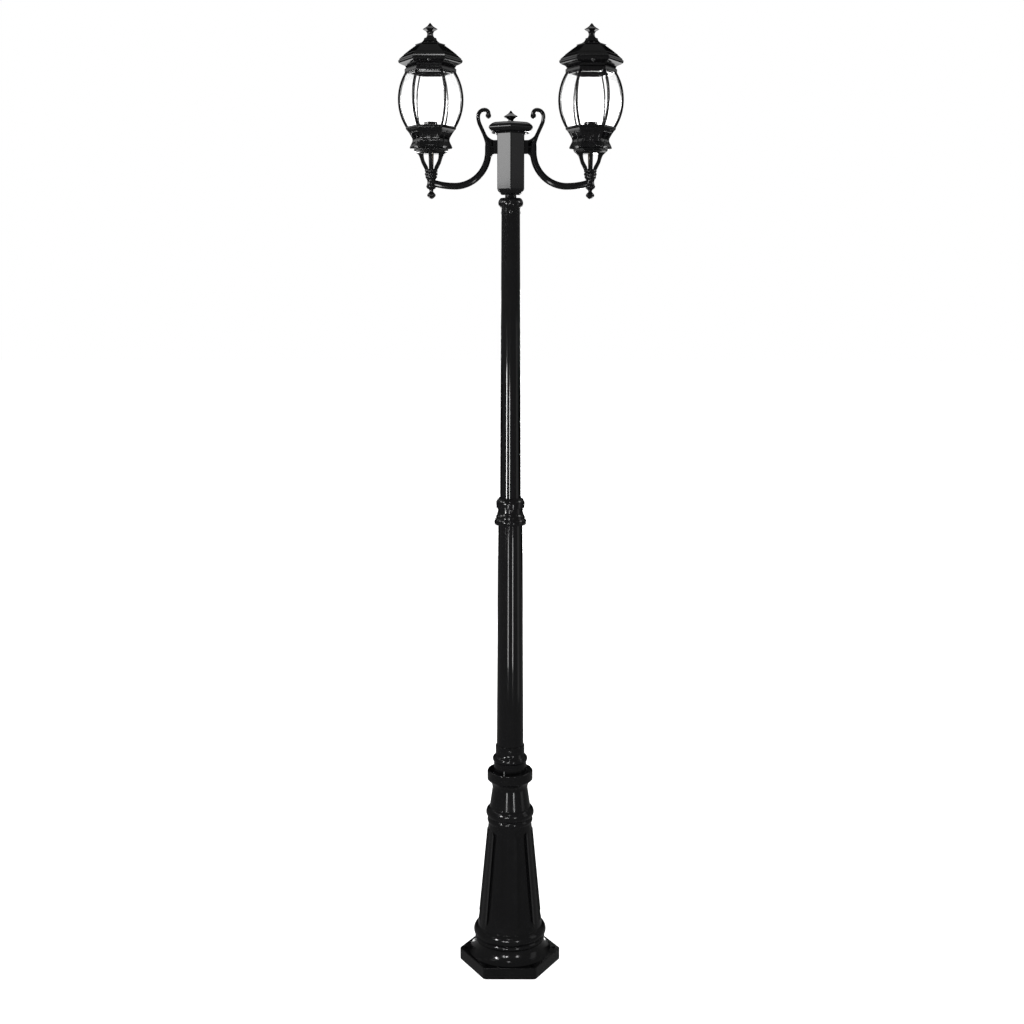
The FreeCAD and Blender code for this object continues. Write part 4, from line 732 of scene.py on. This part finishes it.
class LAMPPOST_OT_arms(Operator):
    """Model the arms: pad, lower sweep to the lantern's seat, and tapering scroll"""
    bl_idname = "lamp_post.arms"
    bl_label = "Arms"

    def execute(self, context):
        sizes = context.scene.lamp_post.head
        hub_side = sizes.hub_across_flats / MM / 2
        stand = hub_side + 21
        reach = centre_across("right_basket") / MM
        seat = foot_of("right_basket")
        pad = foot_of("hub_column") + 108.5
        drop, bend, rise = 10.4, 79, 175
        lowest = stand + bend

        limb = limb_start(stand, pad, sizes)
        extrude((0, 0, -drop * MM))
        swing(limb, (lowest, pad - drop), -90, steps=20)
        climb = degrees(asin((reach - lowest) / rise))
        swing(limb, (lowest, pad - drop - bend + rise), -climb, steps=6)
        close_ends(limb)

        scroll = limb_start(stand, pad, sizes)
        lift, lean, foot_radius, run, shoulder, curl, hook, hook_sweep = 1, 25, 34, 38, 45, 15, 9.5, 113
        sine, cosine = sin(radians(lean)), cos(radians(lean))
        across, level = stand, pad + lift
        extrude((0, 0, lift * MM))
        swing(scroll, (across + foot_radius, level), lean, steps=6, taper=0.75)
        across += foot_radius * (1 - cosine)
        level += foot_radius * sine
        step = Vector((sine, 0, cosine)) * run
        for share, thinner in ((0.2, 0.86), (0.2, 0.88), (0.6, 1.0)):
            extrude(step * (share * MM))
            bpy.ops.transform.resize(value=(thinner, 1, thinner), center_override=loop_middle(scroll))
        across += step.x
        level += step.z
        swing(scroll, (across - shoulder * cosine, level + shoulder * sine), -lean,
              steps=8, taper=1.02, taper_deep=0.96)
        across += shoulder * (1 - cosine)
        level += shoulder * sine
        swing(scroll, (across - curl, level), -90, steps=12, taper=1.01, taper_deep=0.94)
        across -= curl
        level += curl
        swing(scroll, (across, level - hook), -hook_sweep, steps=14, taper=1.01, taper_deep=0.92)
        end = loop_middle(scroll)
        close_ends(scroll)
        knob = tiered([(4.4, -5.4), (5.8, -4.8), (6.4, -3.6), (6.4, 3.6), (5.8, 4.8), (4.4, 5.4)], sides=28, ring=False)
        apply_place(knob, rotation_euler=(radians(90), 0, 0), location=end)

        deselect()
        bpy.ops.mesh.primitive_cube_add(size=1, location=((hub_side + stand) / 2 * MM, 0, pad * MM))
        block = apply_place(bpy.context.object, scale=((stand - hub_side) * MM, sizes.pad_width, sizes.pad_height))
        pick(block, "EDGE", lambda edge: abs(run_of(block, edge).x) > 1 * MM)
        bpy.ops.mesh.bevel(offset=2.4 * MM, segments=5)
        half_pad = sizes.pad_height / MM / 2
        upper = web(
            [(hub_side + 8, pad + half_pad - 0.3), (stand + 5, pad + 29, 2.4), (stand + 6, pad + 24), (stand, pad),
             (hub_side + 8, pad)], sizes.pad_width / MM)
        lower = web(
            [(hub_side + 7, pad - half_pad + 0.3), (hub_side + 7, pad), (stand, pad), (stand, pad - half_pad - 9)]
            + bow((stand - 7.4, pad - half_pad - 9), (hub_side + 7, pad - half_pad + 0.3), 1.8, 6)[:-1],
            sizes.pad_width / MM)

        boss = tiered([(4.05, -24), (6, -24), (12, -16, 1.4, 4), (9.6, -9, -0.4, 3), (11, 0, -0.8, 5), (4.05, 0)],
                      sides=40, base=seat)
        apply_place(boss, location=(reach * MM, 0, 0))
        arm = join([soften(limb, 0.6, angle=40), scroll, knob, block, upper, lower, soften(boss, 0.4, angle=40)])
        shade(arm, angle=20)
        other = placed_copy(arm, 180)
        hand_over(arm, "right_scrolled_arm", "head", "right_arm")
        hand_over(other, "left_scrolled_arm", "head", "left_arm")
        return {"FINISHED"}


class LAMPPOST_OT_baskets(Operator):
    """Model the baskets under the lanterns and their drop finials"""
    bl_idname = "lamp_post.baskets"
    bl_label = "Baskets"

    def execute(self, context):
        seat, plate = foot_of("left_basket"), top_of("left_basket")
        collar_height = 23
        third = collar_height / 3
        collar = tiered(
            [(4.1, 0), (11, 0), (13.2, third, 1.4, 5), (13.2, 2 * third, 2, 6), (13.2, collar_height, 2, 6),
             (4.1, collar_height)], sides=48, base=seat)
        strut = seat + collar_height
        outline = ((14.5, -2), (18.6, 6), (22.2, 13), (24.4, 19.5), (26, 25), (28.2, 30.5), (31.6, 34.5), (36.6, 38.6),
                   (17.2, 38.6), (17.4, 31), (16.8, 25), (15.2, 19.5), (12, 13), (8, 6), (6, -2))
        bar = web([(across, strut + rise) for across, rise in outline], depth=9)
        bars = round_about(bar, QUARTER_TURNS)
        dish = tiered([(4.1, -6), (29.5, -6), (38, -1.6), (39, -0.8), (39, -0.2), (38.8, 0), (4.1, 0)], sides=72,
                      base=plate)
        basket = join([soften(collar, 0.4, angle=40), bars, soften(dish, 0.5, angle=30)])
        hand_over_pair(shade(basket, angle=40), "strut_basket", "basket")
        low = foot_of("left_drop_finial")
        drop = bud(low, [(1.6, 0), (4.8, 1.4), (9.2, 5.6), (10.3, 8.4), (9.4, 11), (5.4, 15.6), (4.6, 17), (4.6, 18.6),
                         (5.5, 21)], CORNERS_ON_X,
                   stud=2.6, stud_low=low + 19, stud_high=top_of("left_drop_finial"))
        hand_over_pair(drop, "drop_bud", "drop_finial")
        return {"FINISHED"}


class LAMPPOST_OT_crowns(Operator):
    """Model the fluted crowns with flared corners"""
    bl_idname = "lamp_post.crowns"
    bl_label = "Crowns"

    def execute(self, context):
        sizes = context.scene.lamp_post.lantern
        rim = foot_of("left_crown") + 7
        height = top_of("left_crown") - rim
        columns, flute_columns = 9, 3
        flute_foot, flute_top = 11, 34.4
        hollow = 39
        crown = tiered(
            [(38.6, -7), (40, -6.2), (40, -2.8), (42, -2.4), (48.4, -1.6), (50.4, -0.4), (50, 0.8), (49, 3.4),
             (47, 7.6), (45, 11.5), (43.6, 15), (43.4, 18), (44.2, 22), (47.2, 27.4), (51.6, flute_top), (54.8, 38.6),
             (58.2, height - 1.2), (58.2, height), (54.2, height), (43.6, 28), (38.4, 11), (38.4, -1), (5, -1),
             (5, -7)], HEX, CORNERS_ON_X, columns, base=rim)

        def column_of(place):
            """Place across a face, from 0 at one corner to 9 at the next."""
            turn = atan2(place.y, place.x) % SECTOR - SECTOR / 2
            return (tan(turn) / tan(SECTOR / 2) + 1) / 2 * columns

        def on_flute(face, first):
            return (flute_foot < face.center.z / MM - rim < flute_top and looks_out(face)
                    and first < column_of(face.center) < first + flute_columns)

        def between_corners(place, half_columns, ceiling):
            return (-2 < place.z / MM - rim < ceiling and abs(column_of(place) - columns / 2) < half_columns
                    and hypot(place.x, place.y) > hollow * MM)

        for first in (1, 5):
            pick(crown, "FACE", lambda face: on_flute(face, first))
            bpy.ops.mesh.inset(thickness=1.3 * MM, depth=0)
            bpy.ops.transform.shrink_fatten(value=-sizes.flute_depth)
        for half_columns, inward, lift in ((4.2, 0.985, 0.9), (3.2, 0.97, 1.2), (2.2, 0.985, 0.9)):
            pick(crown, "VERT", lambda point: between_corners(point.co, half_columns, ceiling=13))
            bpy.ops.transform.resize(value=(inward, inward, 1), center_override=(0, 0, rim * MM))
            pick(crown, "VERT", lambda point: between_corners(point.co, half_columns, ceiling=10))
            bpy.ops.transform.translate(value=(0, 0, lift * MM))
        crown = soften(face_outwards(crown), 0.7, angle=34)
        hand_over_pair(shade(crown, angle=40), "fluted_crown", "crown")
        return {"FINISHED"}


# Corner radius of the cage at both ends of a rib, and how far the rib bows out between them
RIB_FOOT = 59.5
RIB_BULGE = 16.7


def bowed_bar(foot, bulge, low, high, spare, thickness, width, steps):
    """Bar of oblong section that bows out on +X between two levels, and runs on past both by a spare length.

    Its outer side is a foot length from the axis at both levels and a bulge further out halfway; millimetres.
    """
    chord = high - low
    radius = chord ** 2 / 8 / bulge + bulge / 2
    sweep = 2 * asin((chord / 2 + spare) / radius)
    pivot = Vector((foot + bulge - radius, 0, (low + high) / 2)) * MM
    deselect()
    bpy.ops.mesh.primitive_plane_add(size=1, location=pivot + Vector((radius - thickness / 2, 0, 0)) * MM)
    bar = apply_place(bpy.context.object, scale=(thickness * MM, width * MM, 1))
    edit(bar, "EDGE", "SELECT")
    bpy.ops.mesh.delete(type="ONLY_FACE")
    bpy.ops.mesh.select_all(action="SELECT")
    bpy.ops.transform.rotate(value=sweep / 2, orient_axis="Y", center_override=pivot)
    if loop_middle(bar).z > pivot.z:
        bpy.ops.transform.rotate(value=-sweep, orient_axis="Y", center_override=pivot)
    bpy.ops.mesh.spin(steps=steps, angle=sweep, center=pivot, axis=(0, 1, 0))
    return close_ends(bar)


class LAMPPOST_OT_cages(Operator):
    """Model the cages: rings, bowed corner ribs and the upstand that takes the roof"""
    bl_idname = "lamp_post.cages"
    bl_label = "Cages"

    def execute(self, context):
        sizes = context.scene.lamp_post.lantern
        foot = foot_of("left_cage")
        glass, head = foot + 5, foot + 126
        upstand = top_of("left_cage") - head
        ring = tiered([(49, foot), (59, foot), (59, glass), (49, glass)], HEX, CORNERS_ON_X)
        collar = tiered([(43, 0), (58.6, 0), (60, 1.2), (60, 7.5), (57.4, 10), (47, 10), (47, upstand), (43, upstand)],
                        HEX, CORNERS_ON_X, base=head)
        rib = bowed_bar(RIB_FOOT, RIB_BULGE, glass, head, spare=2.5, thickness=sizes.rib_thickness / MM,
                        width=sizes.rib_width / MM, steps=24)
        ribs = round_about(soften(rib, 1.0, segments=3, angle=50), CORNER_TURNS)
        cage = join([soften(ring, 0.9), soften(collar, 0.7), ribs])
        hand_over_pair(shade(cage, angle=40), "ribbed_cage", "cage")
        return {"FINISHED"}


class LAMPPOST_OT_panes(Operator):
    """Model the bowed panes, mitred behind the ribs"""
    bl_idname = "lamp_post.panes"
    bl_label = "Panes"

    def execute(self, context):
        sizes = context.scene.lamp_post.lantern
        low, high = foot_of("left_pane_front"), top_of("left_pane_front")
        behind_rib = 0.4
        foot = (RIB_FOOT - sizes.rib_thickness / MM - behind_rib) * FLAT
        pane = bowed_bar(foot, RIB_BULGE * FLAT, low, high, spare=4, thickness=sizes.pane_thickness / MM, width=92,
                         steps=28)
        inset, gap = 0.2 * MM, 0.35 * MM
        trims = [((inset, -side * gap, 0), (-cos(SECTOR), side * sin(SECTOR), 0)) for side in (-1, 1)]
        trims += [((0, 0, low * MM), (0, 0, -1)), ((0, 0, high * MM), (0, 0, 1))]
        for point, normal in trims:
            edit(pane, action="SELECT")
            bpy.ops.mesh.bisect(plane_co=point, plane_no=normal, use_fill=True, clear_outer=True)
        shade(face_outwards(pane), angle=14)
        for turn, place in FACE_TURNS.items():
            hand_over_pair(placed_copy(pane, turn), "bowed_pane_" + place, "pane_" + place, "clear_glass")
        bpy.data.objects.remove(pane)
        return {"FINISHED"}


class LAMPPOST_OT_lampholders(Operator):
    """Model the moulded lampholders with their brass screw shells and brackets"""
    bl_idname = "lamp_post.lampholders"
    bl_label = "Lampholders"

    def execute(self, context):
        sides = 56
        foot = foot_of("left_lampholder")
        rim = top_of("left_lampholder") - foot
        socket = foot_of("left_lampholder_sleeve") - foot
        body = tiered(
            [(6, 0), (16.2, 0), (17, 0.8), (17, 12), (16.2, 13), (17, 14), (17, rim - 25), (16.4, rim - 24),
             (15.8, rim - 23.4), (15.8, rim - 1), (15.2, rim), (14.6, rim), (14.3, rim - 0.5), (14.3, socket),
             (0.4, socket), (0.4, socket - 6), (6, socket - 6)], sides, base=foot)
        hand_over_pair(shade(body), "moulded_lampholder", "lampholder", "black_phenolic")
        turns, metal = 6, 0.65
        pitch = (top_of("left_lampholder_sleeve") - foot - socket) / turns
        thread = []
        for index in range(turns):
            low = socket + index * pitch
            thread += [(14, low), (13.95, low + pitch * 0.3), (13.65, low + pitch * 0.5), (13.95, low + pitch * 0.7)]
        thread.append((14, socket + turns * pitch))
        shell = tiered(thread + [(radius - metal, level) for radius, level in reversed(thread)], sides, base=foot)
        hand_over_pair(shade(shell, angle=50), "screw_shell", "lampholder_sleeve", "brass")
        bracket = tiered([(4.1, 0), (18.6, 0), (19.5, 0.9), (19.5, 10), (17.3, 10), (17.3, 2), (4.1, 2)], sides,
                         base=foot_of("left_lampholder_bracket"))
        hand_over_pair(shade(soften(bracket, 0.3)), "cup_bracket", "lampholder_bracket", "zinc_plated_steel")
        return {"FINISHED"}


class LAMPPOST_OT_roofs(Operator):
    """Model the lift-off roofs with their finials and lock screws"""
    bl_idname = "lamp_post.roofs"
    bl_label = "Roofs"

    def execute(self, context):
        eave = foot_of("left_roof") + 5
        top = top_of("left_roof")
        neck = top - eave
        shell = tiered(
            [(56, -5), (57, -3), (58.5, 0), (69.5, 4.4), (72.8, 6.6), (74.4, 9.4), (74.4, 12), (73.8, 13),
             (71.8, 14.2), (71.4, 16.8), (69.4, 18), (63.6, 23), (61.6, 24.2), (61.2, 25.6), (48, 35.6), (33, 46),
             (34.5, 46), (34.5, 48), (27, 49), (22, 51.5), (18.6, 53.8), (16.4, 56), (14.6, 59), (14, neck),
             (3.6, neck), (3.6, 44), (14, 44), (29, 42), (64.9, 14), (47.6, 2), (47.6, -5)], HEX, CORNERS_ON_X,
            base=eave)
        seat = 72.25 * FLAT, eave + 5
        boss_radius = 4.8
        bosses = at_screws(lambda: rod(boss_radius, -12, 0, sides=28), *seat)
        spot_faces = at_screws(lambda: rod(boss_radius, 0, 8, sides=28), *seat)
        carve(carve(shell, bosses, "UNION"), spot_faces)
        hand_over_pair(shade(soften(shell, 0.4, angle=22), angle=20), "tiered_roof", "roof", body="roof")
        finial = bud(top, [
            (10.5, 0), (9.6, 1.4), (7.6, 5), (7.2, 8.5), (7.6, 11.4), (9.6, 14.6), (16.4, 18.6), (17.4, 19.3),
            (16.6, 20.2), (9.4, 24.4), (5.8, 27.4), (4.4, 29.4), (0.9, 33.5)], CORNERS_ON_X,
            stud=2.95, stud_low=foot_of("left_roof_finial"), stud_high=top + 4)
        hand_over_pair(finial, "roof_bud", "roof_finial", body="roof")
        screws = at_screws(lambda: domed_screw(head=4, height=3, shank=2.2, reach=21), *seat)
        hand_over_pair(screws, "roof_screws", "roof_lock_screws", "black_painted_steel", "roof")
        return {"FINISHED"}


class LAMPPOST_OT_stage(Operator):
    """Set up the white floor and backdrop, the lights and the camera"""
    bl_idname = "lamp_post.stage"
    bl_label = "Stage"

    def execute(self, context):
        sizes = context.scene.lamp_post.stage
        floor_size, floor_gap = 60, 0.5 * MM
        deselect()
        bpy.ops.mesh.primitive_plane_add(size=floor_size, location=(0, 0, -floor_gap))
        floor = apply_place(bpy.context.object, name="studio_floor")
        dress(floor, "white studio floor")

        world = bpy.data.worlds.new("studio")
        context.scene.world = world
        world.use_nodes = True
        tree = world.node_tree
        tree.nodes.clear()
        glow = seen_or_reflected(tree, sizes.backdrop_glow, sizes.room_light, "Generated", dark_from=0.85, pale_to=0.55)
        room = add_node(tree, "ShaderNodeBackground", inputs={"Color": linear("#ffffff")},
                        links={"Strength": (glow, 0)})
        add_node(tree, "ShaderNodeOutputWorld", links={"Surface": (room, 0)})

        # Name, place, size, the place across and up that it faces, share of the power, and spread in degrees
        wide, narrow, tight = 180, 70, 44
        lamps = (
            ("upper left strip", (-1.5, -1.61, 1.13), (0.2, 0.56), (0, 1.13), 0.45, wide),
            ("upper front strip", (-0.66, -4.15, 0.88), (0.3, 0.66), (0, 0.88), 0.55, wide),
            ("lower left strip", (-0.7, -2.1, 0.47), (0.16, 0.55), (0, 0.47), 0.11, wide),
            ("lower right strip", (0.86, -2.02, 0.47), (0.16, 0.55), (0, 0.47), 0.11, wide),
            ("right fill", (2.0, -0.4, 0.85), (0.7, 1.5), (0, 0.85), 0.035, wide),
            ("left hub light", (-1.9, -1.1, 2.5), (0.6, 0.9), (0, 2.0), 0.057, narrow),
            ("right hub light", (1.9, -1.1, 2.5), (0.6, 0.9), (0, 2.0), 0.003, narrow),
            ("left side", (-2.2, 0, 2.5), (0.8, 0.8), (0, 2.1), 0.05, narrow),
            ("right side", (2.2, 0, 2.5), (0.8, 0.8), (0, 2.1), 0.06, narrow),
            ("left card", (-0.5, 2.0, 2.0), (0.6, 0.8), (-0.19, 2.1), 0.053, wide),
            ("right card", (0.5, 2.0, 2.0), (0.6, 0.8), (0.19, 2.1), 0.053, wide),
            ("left soffit card", (-0.95, 1.5, 1.2), (0.8, 0.7), (0, 2.2), 0.007, tight),
            ("right soffit card", (0.95, 1.5, 1.2), (0.8, 0.7), (0, 2.2), 0.007, tight),
            ("back left strip", (-0.9, 3.8, 1.0), (0.3, 1.4), (0, 1.0), 0.3, wide),
            ("back left hub light", (-1.9, 1.1, 2.5), (0.6, 0.9), (0, 2.0), 0.006, narrow),
            ("back right hub light", (1.9, 1.1, 2.5), (0.6, 0.9), (0, 2.0), 0.003, narrow),
            ("back right strip", (0.6, 3.9, 1.0), (0.3, 1.4), (0, 1.0), 0.5, wide),
            ("front top", (-0.2, -2.8, 3.4), (0.35, 0.35), (0, 1.8), 0.135, wide),
            ("overhead", (0, 1.55, 4.25), (1.8, 0.95), (0, 2.2), 0.14, wide))
        for name, place, extent, (across, level), share, spread in lamps:
            light = bpy.data.lights.new(name, "AREA")
            light.shape = "RECTANGLE"
            light.size, light.size_y = extent
            light.energy = sizes.key_power * share
            light.spread = radians(spread)
            lamp = bpy.data.objects.new(name, light)
            context.scene.collection.objects.link(lamp)
            lamp.location = place
            aim = Vector((across, 0, level)) - Vector(place)
            lamp.rotation_euler = aim.to_track_quat("-Z", "Y").to_euler()

        camera_data = bpy.data.cameras.new("camera")
        camera_data.lens = sizes.lens
        camera_data.sensor_width = 36
        camera = bpy.data.objects.new("camera", camera_data)
        context.scene.collection.objects.link(camera)
        camera.location = (sizes.camera_aside, -sizes.camera_distance, sizes.camera_height)
        camera.rotation_euler = (radians(90) - sizes.camera_pitch, 0, 0)
        camera.rotation_euler.rotate_axis("Z", sizes.camera_roll)
        context.scene.camera = camera
        context.scene.view_settings.view_transform = "Standard"
        return {"FINISHED"}


OPERATORS = (
    LAMPPOST_OT_finishes, LAMPPOST_OT_inner_parts, LAMPPOST_OT_foot, LAMPPOST_OT_tubes, LAMPPOST_OT_set_screws,
    LAMPPOST_OT_hub, LAMPPOST_OT_arms, LAMPPOST_OT_baskets, LAMPPOST_OT_crowns, LAMPPOST_OT_cages,
    LAMPPOST_OT_panes, LAMPPOST_OT_lampholders, LAMPPOST_OT_roofs, LAMPPOST_OT_stage)


class LAMPPOST_PT_pieces(Panel):
    """Lists the pieces of the lamp post"""
    bl_label = "Lamp post"
    bl_space_type = "VIEW_3D"
    bl_region_type = "UI"
    bl_category = "Lamp post"

    def draw(self, context):
        for operator in OPERATORS:
            self.layout.operator(operator.bl_idname)


CLASSES = (
    LampPostFoot, LampPostTubes, LampPostHead, LampPostLantern, LampPostColours, LampPostStage, LampPostSettings,
    *OPERATORS, LAMPPOST_PT_pieces)


def register():
    for item in CLASSES:
        bpy.utils.register_class(item)
    bpy.types.Scene.lamp_post = PointerProperty(type=LampPostSettings)


def unregister():
    del bpy.types.Scene.lamp_post
    for item in reversed(CLASSES):
        bpy.utils.unregister_class(item)


def main():
    register()
    bpy.ops.lamp_post.finishes()
    bpy.ops.lamp_post.inner_parts()
    bpy.ops.lamp_post.foot()
    bpy.ops.lamp_post.tubes()
    bpy.ops.lamp_post.set_screws()
    bpy.ops.lamp_post.hub()
    bpy.ops.lamp_post.arms()
    bpy.ops.lamp_post.baskets()
    bpy.ops.lamp_post.crowns()
    bpy.ops.lamp_post.cages()
    bpy.ops.lamp_post.panes()
    bpy.ops.lamp_post.lampholders()
    bpy.ops.lamp_post.roofs()
    bpy.ops.lamp_post.stage()
    deselect()


if __name__ == "__main__":
    main()
